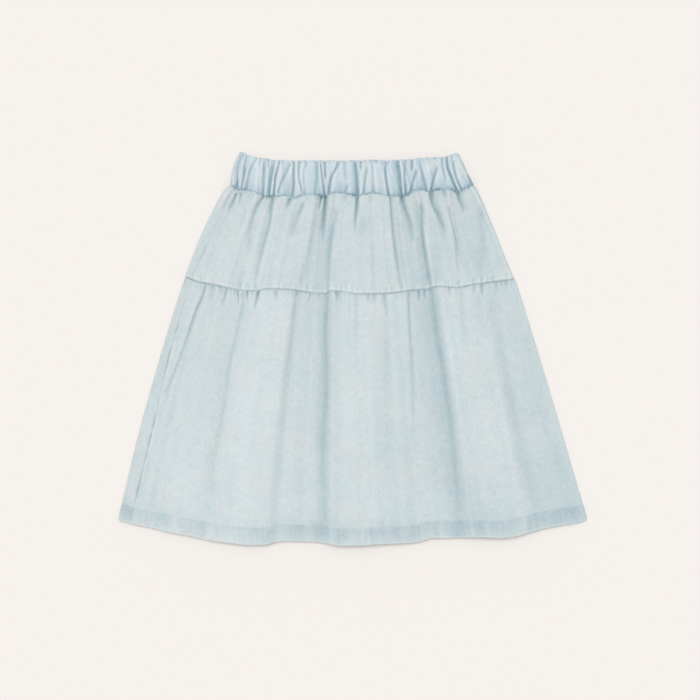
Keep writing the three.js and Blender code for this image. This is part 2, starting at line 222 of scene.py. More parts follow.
def cloth_sheet(name, points, cloth, marks, material):
    """A sheet of cloth from a grid of points on its outer face, in millimetres. Rows run
    towards the waist. cloth is each point's place on the flat cloth, and marks are the
    values that the material reads, such as how deep in a crease a point lies."""
    rows, columns, _ = points.shape
    grid = bmesh.new()
    bmesh.ops.create_grid(grid, x_segments=columns - 1, y_segments=rows - 1, size=0.5)
    mesh = made_mesh(name, grid, material)
    flat = np.empty(len(mesh.vertices) * 3)
    mesh.vertices.foreach_get("co", flat)
    flat = flat.reshape(-1, 3)
    column = np.rint((flat[:, 0] + 0.5) * (columns - 1)).astype(int)
    row = np.rint((flat[:, 1] + 0.5) * (rows - 1)).astype(int)
    mesh.vertices.foreach_set("co", (points[row, column] * MM).ravel())
    for mark, values in marks.items():
        values = np.broadcast_to(values, (rows, columns))
        layer = mesh.attributes.new(mark, "FLOAT", "POINT")
        layer.data.foreach_set("value", values[row, column].astype(np.float32))
    corner = np.empty(len(mesh.loops), int)
    mesh.loops.foreach_get("vertex_index", corner)
    uv = mesh.uv_layers.new(name="cloth")
    uv.data.foreach_set("uv", (cloth[row, column][corner] * MM).ravel())
    mesh.update()
    piece = put_in_scene(name, mesh)
    wall = piece.modifiers.new("wall", "SOLIDIFY")
    wall.thickness = CLOTH * MM
    wall.offset = -1
    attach(piece, "root")
    return piece


def panel_path(front, left, right, seam_in, height, face_x, face_z, turn_steps, tail_steps):
    """Points round one panel of the flattened tube, for each row: along its face, round the
    side fold, along a tail to its other seam, and tucked under at both ends. Gives x and z,
    the way the outer face looks there, and how deep the tucked ends lie."""
    side = 1 if front else -1
    half = height / 2
    end = face_x[:, -1:]
    tail_end = right - RIGHT_SEAM_IN if front else left + seam_in - SEAM_GAP
    angle = math.pi * (0.5 - np.arange(1, turn_steps) / turn_steps)[None, :]
    tail_x = lerp(end, tail_end, np.linspace(0, 1, tail_steps + 1)[None, :])
    x = np.hstack([face_x, end + side * half * np.cos(angle), tail_x])
    z = np.hstack([face_z, half + side * half * np.sin(angle),
                   0 * tail_x + (0 if front else height)])
    out_x = np.hstack([0 * face_x, side * np.cos(angle) + 0 * end, 0 * tail_x])
    out_z = np.hstack([side + 0 * face_x, side * np.sin(angle) + 0 * end, -side + 0 * tail_x])
    reach, depth = np.array(TUCK_UNDER).T
    x = np.hstack([x[:, :1] - side * reach, x, x[:, -1:] - side * TUCK_OVER[0]])
    inside = np.zeros_like(x)
    inside[:, :len(depth)] = depth
    inside[:, -1] = TUCK_OVER[1]
    widened = [np.pad(field, ((0, 0), (len(depth), 1)), mode="edge") for field in (z, out_x, out_z)]
    return x, *widened, inside


def plain_face(start, end, z, pitch):
    """A straight run of points across each row, at one height."""
    steps = int(round(np.abs(end - start).max() / pitch))
    face_x = lerp(start, end, np.linspace(0, 1, steps + 1)[None, :])
    return face_x, z + 0 * face_x


def on_cloth(x, y, z, cut_width):
    """Each point's place on the flat cloth, which was cut wider than it is now gathered."""
    middle = len(x) // 2
    steps = np.hypot(np.diff(x[middle]), np.diff(z[middle]))
    across = np.concatenate([[0], np.cumsum(steps)])
    up = np.vstack([0 * y[:1], np.cumsum(np.hypot(np.diff(y, axis=0), np.diff(z, axis=0)), axis=0)])
    return np.dstack([across / across[-1] * cut_width + 0 * y, up])


# The nodes of the cloth: a right-hand twill of pale blue warp and white weft, bleached
# until it is nearly white, and bluer where creases and seams kept the bleach off it. Painted
# shade darkens its creases, hollows and steep slopes, and a painted highlight lightens its crests.

def new_material(name, roughness, specular=0.5):
    """A material, with its node tree and its shader."""
    material = bpy.data.materials.new(name)
    material.use_nodes = True
    shader = material.node_tree.nodes["Principled BSDF"]
    shader.inputs["Roughness"].default_value = roughness
    shader.inputs["Specular IOR Level"].default_value = specular
    return material, material.node_tree, shader


def new_group(name, takes, gives):
    """A node group whose inputs and outputs are named with their kinds, and its two ends."""
    group = bpy.data.node_groups.new(name, "ShaderNodeTree")
    for way, sockets in (("INPUT", takes), ("OUTPUT", gives)):
        for label, kind in sockets:
            group.interface.new_socket(label, in_out=way, socket_type="NodeSocket" + kind)
    return group, group.nodes.new("NodeGroupInput"), group.nodes.new("NodeGroupOutput")


def feed(tree, target, value):
    """Sets an input to a plain value, or links it to another node's output."""
    if isinstance(value, (int, float, tuple)):
        target.default_value = value
    else:
        tree.links.new(value, target)


def math_node(tree, operation, *values):
    node = tree.nodes.new("ShaderNodeMath")
    node.operation = operation
    for target, value in zip(node.inputs, values):
        feed(tree, target, value)
    return node.outputs[0]


def added(tree, *values):
    """The sum of several values."""
    total = values[0]
    for value in values[1:]:
        total = math_node(tree, "ADD", total, value)
    return total


def times(tree, value, amount):
    return math_node(tree, "MULTIPLY", value, amount)


def spread(tree, value, low, high, to_low=0.0, to_high=1.0):
    """The value, with its range from low to high mapped onto another one and held inside it."""
    node = tree.nodes.new("ShaderNodeMapRange")
    for name, amount in (("Value", value), ("From Min", low), ("From Max", high),
                         ("To Min", to_low), ("To Max", to_high)):
        feed(tree, node.inputs[name], amount)
    return node.outputs[0]


def mix(tree, share, first, second):
    """The first colour, with share of the second in it."""
    node = tree.nodes.new("ShaderNodeMix")
    node.data_type = "RGBA"
    for name, value in (("Factor", share), ("A", first), ("B", second)):
        feed(tree, [s for s in node.inputs if s.name == name and s.enabled][0], value)
    return [s for s in node.outputs if s.enabled][0]


def noise(tree, vector, stretch, size, detail=2.0, roughness=0.5):
    """Noise from 0 to 1 whose blotches are size metres across, and stretch times as long."""
    place = tree.nodes.new("ShaderNodeMapping")
    place.inputs["Scale"].default_value = (1 / size, 1 / (size * stretch), 1 / size)
    tree.links.new(vector, place.inputs["Vector"])
    node = tree.nodes.new("ShaderNodeTexNoise")
    for name, amount in (("Vector", place.outputs[0]), ("Scale", 1.0), ("Detail", detail),
                         ("Roughness", roughness)):
        feed(tree, node.inputs[name], amount)
    return node.outputs[0]


TWILL_PITCH = 0.0011            # one twill wale, across the cloth, in metres


def make_weave():
    """The twill, as a height and a mask of where the blue warp lies on top."""
    group, start, end = new_group("twill weave", [("Cloth", "Vector")],
                                  [("Height", "Float"), ("Warp", "Float")])
    split = group.nodes.new("ShaderNodeSeparateXYZ")
    group.links.new(start.outputs["Cloth"], split.inputs[0])
    turn = 2 * math.pi / TWILL_PITCH
    across = times(group, split.outputs["X"], turn)
    up = times(group, split.outputs["Y"], turn)
    wale = math_node(group, "SINE", math_node(group, "SUBTRACT", across, up))
    yarn = math_node(group, "SINE", times(group, across, 3.0))
    height = added(group, times(group, wale, 0.7), times(group, yarn, 0.3))
    group.links.new(height, end.inputs["Height"])
    group.links.new(spread(group, height, -1, 1), end.inputs["Warp"])
    return group


# Marks that each sheet of cloth carries, in order: bluer cloth with painted shade in its creases,
# hollows and steep slopes; wear with a painted highlight on crests, lips and edges; how blue the cloth
# is, its own tone and, at seams, painted shade too; and painted shade along crease bottoms and in seam
# tucks.
MARKS = ("Dip", "Rub", "Blue", "Line")
# Tones of the cloth: the first three are its own bleached blues, the fourth the colour of wear and
# painted highlight, and the last the colour of painted crease shade.
TONES = ("Pale", "Cool", "Deep", "Worn", "Dark")
# Uneven bleaching, from broad clouds to the grain of the yarn: how much longer than wide its
# blotches are, their size in metres, their detail and roughness, and how far they swing the blue.
BLOTCHES = [
    (1.1, 0.045, 4.0, 0.62, 0.065), (1.1, 0.009, 3.0, 0.6, 0.065),
    (1.3, 0.0034, 3.0, 0.65, 0.10), (1.1, 0.0016, 1.0, 0.5, 0.06),
]


def make_wash():
    """The bleached colour of the cloth, from its place and its wear, with painted shade in its
    creases and hollows and a painted highlight on its crests.
    """
    takes = [("Cloth", "Vector"), ("Warp", "Float")]
    takes += [(mark, "Float") for mark in MARKS] + [(tone, "Color") for tone in TONES]
    group, start, end = new_group("bleach wash", takes, [("Color", "Color")])
    given = start.outputs
    clouds = [spread(group, noise(group, given["Cloth"], *blotch), 0.3, 0.7, -swing, swing)
              for *blotch, swing in BLOTCHES]
    # How blue: the cloth's own clouds, warp and tone, and the bluer cloth and painted shade of its
    # creases.
    blue = added(group, *clouds, spread(group, given["Warp"], 0, 1, -0.03, 0.03),
                 times(group, given["Dip"], 0.6), given["Blue"])
    tinge = spread(group, noise(group, given["Cloth"], 1.1, 0.034), 0.3, 0.7)
    cool = added(group, tinge, spread(group, blue, 0.15, 0.5, 0, 0.9))
    # How pale: wear with painted highlight, and the palest bleaching.
    lift = added(group, given["Rub"], spread(group, blue, -0.4, 0, 1.0, 0))
    shade = mix(group, spread(group, cool, 0, 1), given["Pale"], given["Cool"])
    shade = mix(group, spread(group, blue, 0, 1), shade, given["Deep"])
    # Painted shade along crease bottoms and in seam tucks.
    shade = mix(group, spread(group, given["Line"], 0, 1, 0, 0.6), shade, given["Dark"])
    shade = mix(group, spread(group, lift, 0, 1), shade, given["Worn"])
    group.links.new(shade, end.inputs["Color"])
    return group


twill_weave = make_weave()
bleach_wash = make_wash()


def make_denim(name, **tones):
    """The denim of one place, in its own tones of the same bleached blue, and the tones of its
    painted shade and highlight.
    """
    material, tree, shader = new_material(name, 0.92, 0.2)
    shader.inputs["Sheen Weight"].default_value = 0.06
    shader.inputs["Sheen Roughness"].default_value = 0.6
    place = tree.nodes.new("ShaderNodeUVMap")
    place.uv_map = "cloth"
    weave = tree.nodes.new("ShaderNodeGroup")
    weave.node_tree = twill_weave
    wash = tree.nodes.new("ShaderNodeGroup")
    wash.node_tree = bleach_wash
    for tone in TONES:
        wash.inputs[tone].default_value = tones[tone.lower()]
    for mark in MARKS:
        attribute = tree.nodes.new("ShaderNodeAttribute")
        attribute.attribute_name = mark.lower()
        tree.links.new(attribute.outputs["Fac"], wash.inputs[mark])
    tree.links.new(place.outputs[0], weave.inputs["Cloth"])
    tree.links.new(place.outputs[0], wash.inputs["Cloth"])
    tree.links.new(weave.outputs["Warp"], wash.inputs["Warp"])
    tree.links.new(wash.outputs["Color"], shader.inputs["Base Color"])
    slub = noise(tree, place.outputs[0], 3.0, 0.0035)
    bump = tree.nodes.new("ShaderNodeBump")
    bump.inputs["Distance"].default_value = 1.0
    bump.inputs["Strength"].default_value = 0.6
    tree.links.new(added(tree, times(tree, weave.outputs["Height"], 0.00004),
                         times(tree, slub, 0.0006)), bump.inputs["Height"])
    tree.links.new(bump.outputs[0], shader.inputs["Normal"])
    return material


# The last tone of each is the colour of painted crease shade, and the one before it the colour of wear
# and painted highlight.
denim = make_denim("bleached denim", pale=(0.591, 0.631, 0.640, 1), cool=(0.555, 0.635, 0.656, 1),
                   deep=(0.265, 0.376, 0.403, 1), worn=(0.69, 0.73, 0.735, 1),
                   dark=(0.10, 0.15, 0.18, 1))
casing_denim = make_denim("bleached denim of the casing", pale=(0.592, 0.640, 0.650, 1),
                          cool=(0.525, 0.630, 0.680, 1), deep=(0.225, 0.345, 0.405, 1),
                          worn=(0.68, 0.74, 0.75, 1), dark=(0.10, 0.15, 0.18, 1))

# Gathers of the front casing: the trough's path from the top to the stitching, its width to
# the left and the right, its depth, and its fades.
FRONT_GATHERS = [
    ([(-122.1, 211), (-126, 198), (-126.5, 181.5), (-124, 173)], 1.8, 2.2, 3.0, 5, 3),
    ([(-117.7, 196), (-122.7, 174)], 1.8, 1.8, 2.2, 8, 3),
    ([(-109, 203), (-112.8, 193.6), (-116.6, 175)], 2.6, 2.0, 2.0, 9, 3),
    ([(-104, 211), (-108, 205)], 1.5, 1.5, 1.4, 2, 4),
    ([(-96.5, 204), (-97.9, 173.8), (-98.5, 167)], 2.6, 1.6, 3.2, 9, 3),
    ([(-92.2, 208), (-92.2, 202)], 1.3, 1.3, 1.8, 3, 4),
    ([(-85.3, 208), (-88.6, 189.2), (-91.9, 172)], 2.6, 2.6, 2.6, 3, 3),
    ([(-80.5, 205), (-84.7, 187), (-86.4, 166)], 1.6, 1.7, 3.2, 6, 3),
    ([(-75.6, 208), (-77.3, 202)], 1.3, 1.3, 1.6, 3, 4),
    ([(-68.5, 203), (-77, 184.8), (-81.5, 173)], 1.7, 3.0, 2.5, 4, 3),
    ([(-64.4, 207), (-64.4, 184), (-66, 167)], 1.9, 1.9, 3.0, 4, 3),
    ([(-58.3, 208), (-58.9, 192.5), (-55.6, 176)], 1.6, 1.6, 2.2, 4, 4),
    ([(-49, 208), (-53.4, 192.5), (-52.3, 170)], 1.6, 3.6, 1.9, 4, 3),
    ([(-38.5, 208), (-39, 192), (-41, 172)], 2.6, 2.2, 1.9, 4, 3),
    ([(-34.7, 203.5), (-31.9, 181.5), (-30.3, 169)], 1.7, 1.6, 2.6, 6, 3),
    ([(-30.3, 208.5), (-29.9, 190)], 1.6, 1.6, 3.0, 3, 8),
    ([(-15.5, 203), (-23.7, 187), (-26.4, 169.5)], 1.6, 2.2, 2.8, 4, 3),
    ([(-14.6, 209), (-16.6, 204)], 1.3, 1.3, 1.8, 2, 4),
    ([(-8.3, 206), (-7.2, 187)], 2.2, 2.4, 2.0, 4, 6),
    ([(-6, 178), (-9, 170)], 2.0, 2.0, 2.0, 5, 2),
    ([(3, 206), (5.2, 190), (6.4, 169)], 3.0, 1.7, 2.8, 5, 2),
    ([(9.5, 209), (9.1, 200)], 1.4, 1.4, 2.6, 3, 5),
    ([(15.6, 197), (13.8, 185), (12.5, 170)], 1.7, 2.0, 2.3, 6, 3),
    ([(21.7, 201), (22.3, 186.5), (23.5, 171)], 1.8, 1.8, 1.8, 6, 3),
    ([(37, 209), (36.1, 197.5), (37.6, 182.6), (40.4, 167)], 1.7, 2.0, 3.4, 3, 2),
    ([(41, 208), (38, 203)], 1.2, 1.2, 1.8, 2, 3),
    ([(49.5, 209), (51.9, 195), (52.9, 185), (54.7, 168)], 3.2, 1.6, 3.0, 3, 2),
    ([(58, 209.5), (57, 190), (58.5, 172)], 2.2, 2.2, 2.4, 3, 4),
    ([(65.7, 209), (65.1, 199)], 1.4, 1.5, 2.8, 3, 5),
    ([(70, 195), (65.7, 181.5), (63.3, 171)], 1.7, 2.4, 2.4, 5, 3),
    ([(74.5, 203), (78.5, 186.5), (81.5, 174)], 1.7, 1.5, 2.2, 6, 3),
    ([(92.5, 198), (88.9, 186.5), (86, 174)], 1.6, 2.0, 2.4, 6, 3),
    ([(99.3, 213), (98.7, 203.5), (101.5, 189)], 1.6, 1.8, 2.2, 3, 7),
    ([(103.3, 213), (104.2, 201), (108.5, 190), (116, 173)], 1.6, 1.8, 3.2, 3, 2),
    ([(108.6, 213), (108.8, 208)], 1.2, 1.2, 1.6, 2, 4),
    ([(110.5, 205), (113.3, 190), (120, 175)], 1.6, 1.8, 3.0, 6, 3),
    ([(124.5, 203), (131.5, 183)], 1.4, 1.6, 1.6, 6, 4),
]
BACK_GATHERS = mirrored(FRONT_GATHERS, 1.1)

# Upright bands of bluer or paler cloth between the gathers: x at the top and at the seam, half
# the width, the part of the way down from and to which it shows, and how much bluer it is.
CASING_BANDS = [
    (-118.2, -119.9, 3.0, 0.0, 1.2, 0.28), (-110, -115, 3.0, 0.2, 1.2, 0.24),
    (-103, -106, 4.0, 0.0, 0.7, -0.12), (-88, -91.5, 3.2, 0.1, 1.2, 0.38),
    (-71, -73, 2.5, 0.4, 1.2, 0.20), (-55, -50, 3.0, 0.0, 0.8, -0.10),
    (-38.5, -38.5, 3.2, 0.05, 1.2, 0.26), (-30, -29, 4.0, 0.6, 1.2, 0.2),
    (-22, -16, 4.0, 0.0, 0.8, -0.12), (-12, -12, 4.0, 0.65, 1.2, 0.24),
    (2.5, 3, 2.8, 0.0, 1.2, 0.42), (24, 26, 9.0, 0.0, 0.8, -0.12),
    (48.5, 52.5, 2.8, 0.0, 1.2, 0.46), (58.5, 59, 3.0, 0.0, 1.2, 0.36),
    (84, 80, 5.0, 0.0, 0.5, -0.12), (75, 76, 4.0, 0.5, 1.2, 0.24),
    (89, 87, 2.6, 0.3, 1.2, 0.26), (104.5, 112, 3.0, 0.0, 1.2, 0.38),
    (116, 122, 4.0, 0.0, 0.6, -0.12), (129, 129, 3.5, 0.6, 1.2, 0.26),
]


def waist_edges(v):
    """The folds at the left and right of the casing, from its top (0) to its seam (1)."""
    return WAIST_TOP[0][0] - 9 * v ** 0.8, WAIST_TOP[-1][0] + 16 * v


def casing_line(share, v):
    """How far up the skirt the casing lies, share of the way from its left to its right."""
    top = part_way(WAIST_TOP, share)[1] - CASING_FOLD
    place, seam = part_way(WAIST_SEAM, share)
    return lerp(top, seam + 0.35 * uneven(3, place, 4), v)


def plain_rows(levels, reach=0.0):
    """Rows of points at these levels, which neither turn round an edge nor are tucked in."""
    return [(level, 0.0, reach, 0.0) for level in levels]


CASING_CUT = 375                # width that each strip was cut, before it was gathered
CASING_FAN = 250                # width over which its fine ripples fan out
CASING_PITCH = 0.72             # from one column of points to the next
GATHER_LIMIT = 2.2              # past this depth a gather only creeps deeper,
GATHER_ROOM = 1.1               # by no more than this
# The rows, from the seam up over the fold and down the inner layer: each one's level from
# the top (0) to the seam (1), how far it has turned over the fold, how far up the skirt it
# is moved from there, and how deep it is tucked.
CASING_ROWS = [(1.0, 0.0, -TUCK_OVER[0], TUCK_OVER[1])]
CASING_ROWS += plain_rows([1, 0.988, 0.975, 0.96, 0.945, 0.93, 0.912, 0.89])
CASING_ROWS += plain_rows(0.865 * (1 - k / 38) for k in range(39))
CASING_ROWS += [(0.0, math.pi * k / 12, 0.0, 0.0) for k in range(1, 12)]
CASING_ROWS += [(k / 9, math.pi, 0.0, 0.0) for k in range(10)]


def casing_panel(name, front):
    """A strip of the casing: its outer layer, the fold along its top, and its inner layer."""
    v, turn, reach, tuck = (np.array(column)[:, None] for column in zip(*CASING_ROWS))
    left, right = waist_edges(v)
    height = CASING_TOP * np.ones_like(v)
    if front:
        face = plain_face(left + WAIST_SEAM_IN + SEAM_GAP, right - height / 2, height, CASING_PITCH)
    else:
        face = plain_face(right - RIGHT_SEAM_IN, left + height / 2, 0 * height, CASING_PITCH)
    x, z, out_x, out_z, inside = panel_path(front, left, right, WAIST_SEAM_IN, height, *face,
                                            turn_steps=14, tail_steps=8)
    share = (x - left) / (right - left)
    y = casing_line(share, v) + reach
    outer = ease(0, 1, 1 - turn / math.pi)
    up = (out_z + 1) / 2
    gathers, sharp = (lerp(behind, before, up) for behind, before in zip(
        crease_field(BACK_GATHERS, x, y, 1.0), crease_field(FRONT_GATHERS, x, y, 1.0)))

    # How deep the face sinks: gathers, ripples, a ruffled top edge and a slightly full middle.
    fan = CASING_FAN * share
    ripple = 0.75 * uneven(7, fan - 0.15 * y, 5) + 0.5 * uneven(8, fan + 0.1 * y, 2.6)
    ruffle = 0.6 * (1 + uneven(10, x, 2.6)) * ease(0.3, 0, v)
    crown = -0.9 * np.sin(math.pi * np.clip(v / 0.93, 0, 1))
    sink = eased_limit(gathers + 0.7 * sharp + ripple + ruffle + crown, GATHER_LIMIT, GATHER_ROOM)
    sink = outer * lerp(sink, waist_ditch(x), ease(0.94, 1, v))
    hollow = hollows(-sink, 4)
    lean = np.gradient(gathers + ripple, axis=1) / CASING_PITCH

    # Where the points lie, round the fold and down the inner layer.
    folded = CASING_THICK * (1 - np.cos(turn)) / 2
    sink_in = sink * np.maximum(np.cos(turn), 0) + folded + inside + tuck
    y = y + (CASING_FOLD - np.minimum(0.9 * sink, GATHER_LIMIT)) * np.sin(turn)
    x = x - out_x * sink_in
    z = np.maximum(z - out_z * sink_in, 0)

    # How blue the cloth stayed in its gathers, with painted shade in their hollows and bottoms and
    # on flanks that face right on the front (mirrored on the back); and the wear on the crests
    # between, with a painted highlight on them and on flanks that face left.
    dip = 0.05 * gathers + 0.13 * hollow + 0.1 * sharp + 0.17 * np.clip(lean, 0, 1.5)
    dip = np.clip(dip, 0, 1.3) * outer
    rub = np.clip(0.05 - 0.55 * hollow - 0.3 * lean, 0, 0.9) * outer * ease(1, 0.9, v)
    lower_part = ease(0.6, 1, v) * (turn == 0)
    blue = 0.135 + 0.05 * uneven(12, fan, 9) + 0.04 * ease(20, 80, x)
    for top, bottom, half, upper, lower, bluer in CASING_BANDS:
        blue = blue + (bluer * np.exp(-((x - lerp(top, bottom, v)) / half) ** 2) * outer
                       * ease(upper - 0.12, upper + 0.12, v) * ease(lower + 0.12, lower - 0.12, v))
    blue = blue + lower_part * (0.03 + 0.04 * gathers + 0.10 * pinched(x))

    # The line of stitching as a bluer band, with painted shadows in its tucks; and painted shade
    # in dots along the top edge, where the gathers notch it.
    from_seam = (1 - v) * CASING_LENGTH
    blue = blue + (turn == 0) * (0.30 + 0.2 * ease(20, 80, x)) * np.exp(-from_seam / 5)
    pits = (turn == 0) * np.exp(-(from_seam / 2.8) ** 2) * seam_pits(x)
    dots = np.clip(1.4 * uneven(14, x, 2.3) - 0.3, 0, 1) * ease(2.4, 1.6, turn)
    dots = dots * np.exp(-(v / 0.02) ** 2)
    faint = (0.55 + 0.4 * uneven(15, x, 5)) * (0.8 + 0.2 * uneven(16, y, 9))
    # Painted shade along the bottoms of the gathers, in the seam's tucks and in the dots.
    line = np.clip(outer * sharp * faint + 0.8 * pits + 0.5 * dots, 0, 1)
    blue = blue + 0.25 * pits
    marks = {"dip": dip, "rub": rub, "blue": blue, "line": line}
    return cloth_sheet(name, np.dstack([x, y, z]), on_cloth(x, y, z, CASING_CUT), marks, casing_denim)


casing_front = casing_panel("casing_front_cloth", True)
casing_back = casing_panel("casing_back_cloth", False)
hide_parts("waistband_front")
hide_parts("waistband_back")

# ---------------------------------------------------------------- elastic
# A flat woven waist elastic, 31 mm wide, its ends lapped and sewn into a closed band. It
# lies inside the casing, out of sight, and its pull is what gathers the waist.

ELASTIC_IN = (4.5, 5.1)         # how far inside the casing its two faces lie
ELASTIC_SPAN = (0.08, 0.9)      # from its upper edge to its lower one, down the casing
ELASTIC_ARC = 12                # steps round each of its two side folds
ELASTIC_RUN = 24                # and along each side
ELASTIC_RIBS = 3000.0           # turns of angle in a metre, for the fine ribs across it

elastic_white, elastic_tree, elastic_shader = new_material("white elastic", 0.8)
elastic_place = elastic_tree.nodes.new("ShaderNodeTexCoord")
elastic_split = elastic_tree.nodes.new("ShaderNodeSeparateXYZ")
elastic_tree.links.new(elastic_place.outputs["Object"], elastic_split.inputs[0])
elastic_rib = math_node(elastic_tree, "SINE",
                        times(elastic_tree, elastic_split.outputs["X"], ELASTIC_RIBS))
elastic_tree.links.new(mix(elastic_tree, spread(elastic_tree, elastic_rib, -1, 1),
                           (0.62, 0.62, 0.58, 1), (0.8, 0.8, 0.77, 1)),
                       elastic_shader.inputs["Base Color"])


def elastic_loop(v, depth):
    """One edge of the elastic at one height of the casing, all the way round."""
    left, right = waist_edges(v)
    half = WAIST_HEIGHT / 2
    near, far = left + half, right - half
    arc = np.linspace(-math.pi / 2, math.pi / 2, ELASTIC_ARC, endpoint=False)
    run = np.linspace(0, 1, ELASTIC_RUN, endpoint=False)
    inner = half - depth
    x = np.concatenate([lerp(near, far, run), far + inner * np.cos(arc),
                        lerp(far, near, run), near - inner * np.cos(arc)])
    z = np.concatenate([depth + 0 * run, half + inner * np.sin(arc),
                        2 * half - depth + 0 * run, half - inner * np.sin(arc)])
    return np.column_stack([x, casing_line((x - left) / (right - left), v), z]) * MM


band = bmesh.new()
band_edges = []
for v, depth in ((ELASTIC_SPAN[0], ELASTIC_IN[0]), (ELASTIC_SPAN[1], ELASTIC_IN[0]),
                 (ELASTIC_SPAN[1], ELASTIC_IN[1]), (ELASTIC_SPAN[0], ELASTIC_IN[1])):
    corners = [band.verts.new(point) for point in elastic_loop(v, depth)]
    band_edges.append([band.edges.new((corners[k - 1], corners[k])) for k in range(len(corners))])
for k in range(4):
    bmesh.ops.bridge_loops(band, edges=band_edges[k - 1] + band_edges[k])
bmesh.ops.recalc_face_normals(band, faces=band.faces)
elastic_band = put_in_scene("elastic_band", made_mesh("elastic_band", band, elastic_white, False))
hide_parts("elastic")
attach(elastic_band, "root")

# ---------------------------------------------------------------- upper tier
# Two short panels, gathered into the casing above and flat at their lower edge, where the
# seam allowance of the lower tier is pressed up behind them and shows as fine ribs.

UPPER_LENGTH = 104.0            # from the casing down to the tier seam
UPPER_CUT = 375                 # width that each panel was cut, before it was gathered
UPPER_FAN = 330                 # width over which its fine ripples fan out
ALLOWANCE = 10.0                # how far up the seam allowance shows through it
TIER_SEAM = [
    (-185, 80.7), (-169.5, 74.8), (-148, 70.6), (-125, 66.0), (-107.5, 64.8), (-94, 67.2),
    (-70, 66.4), (-49, 63.4), (-30, 62.4), (-24, 65.6), (-10.7, 64.6), (7.5, 61.4), (34, 61.8),
    (59, 64.7), (85, 67.8), (95, 69.8), (115.6, 68.6), (134, 72), (152, 74.4), (179, 78),
]


def through_three(top, middle, bottom, v):
    """A value's curve down a tier, from its values at the top, middle and bottom."""
    return lerp(top, bottom, v) + 4 * v * (1 - v) * (middle - (top + bottom) / 2)


# The lower tier's fold lines: x at its top, middle and bottom, then the height of the face
# at the same places. Between the lines the face curves from one height to the next.
LOWER_FOLDS = [
    (-152, -187, -214, 5.0, 4.6, 6.0),      # left shoulder
    (-141, -174, -199, 5.6, 5.6, 7.4),      # low crest beside the left seam
    (-130, -153, -171, 4.6, 5.4, 6.8),      # soft trough
    (-119, -138, -149, 6.4, 7.4, 8.4),      # first plateau, left
    (-99, -110, -122, 6.8, 8.8, 9.8),       # first plateau, crest
    (-68, -85.5, -98, 6.4, 7.6, 8.6),       # step, head
    (-55.5, -72, -84, 3.8, 4.2, 6.8),       # step, foot
    (-36, -38, -39, 3.2, 3.0, 6.0),         # wall, foot
    (-20.5, -21, -21, 7.2, 9.4, 10.6),      # wall, head
    (-4, -4, 2, 8.0, 10.6, 11.4),           # second plateau, crest
    (36, 37, 43, 6.4, 8.2, 9.2),            # second plateau, right
    (59, 63, 68, 5.8, 6.2, 7.4),            # step, head
    (66, 72, 79, 4.4, 5.2, 7.0),            # step, foot
    (80.5, 98.5, 113, 3.2, 3.0, 6.4),       # second wall, foot
    (96.5, 116.5, 132, 6.8, 9.0, 9.8),      # second wall, head
    (114, 137, 155, 7.4, 9.8, 10.6),        # third plateau, crest
    (136, 163, 183, 6.4, 9.0, 9.6),         # third plateau, right
    (155, 180, 212, 4.4, 4.2, 5.8),         # right slope
]
# The upper tier's: x at the same three places, and the height between its two seams.
UPPER_FOLDS = [
    (-116, -128, -142, 6.8),                # first plateau
    (-101, -116, -129, 5.8),                # soft trough
    (-93, -101, -113, 5.2),                 # floor
    (-83, -91, -101, 7.2),                  # second plateau, left
    (-72, -78, -86, 7.5),                   # second plateau, crest
    (-44.5, -52, -65, 6.8),                 # step, head
    (-37, -44, -57, 4.0),                   # step, foot
    (-27, -30, -36, 3.2),                   # wall, foot
    (-15, -18, -25, 7.6),                   # wall, head
    (4, 4, 4, 8.2),                         # third plateau, crest
    (40, 43.5, 51, 6.8),                    # step, head
    (45, 49, 58, 4.8),                      # step, foot
    (69, 71.5, 78, 3.0),                    # second wall, foot
    (80, 84, 91, 7.4),                      # second wall, head
    (92, 98, 106, 7.8),                     # last plateau, crest
    (103, 111, 116, 6.8),                   # step, head
    (108, 117, 122, 4.8),                   # step, foot
    (128, 140, 150, 4.6),                   # right slope
]
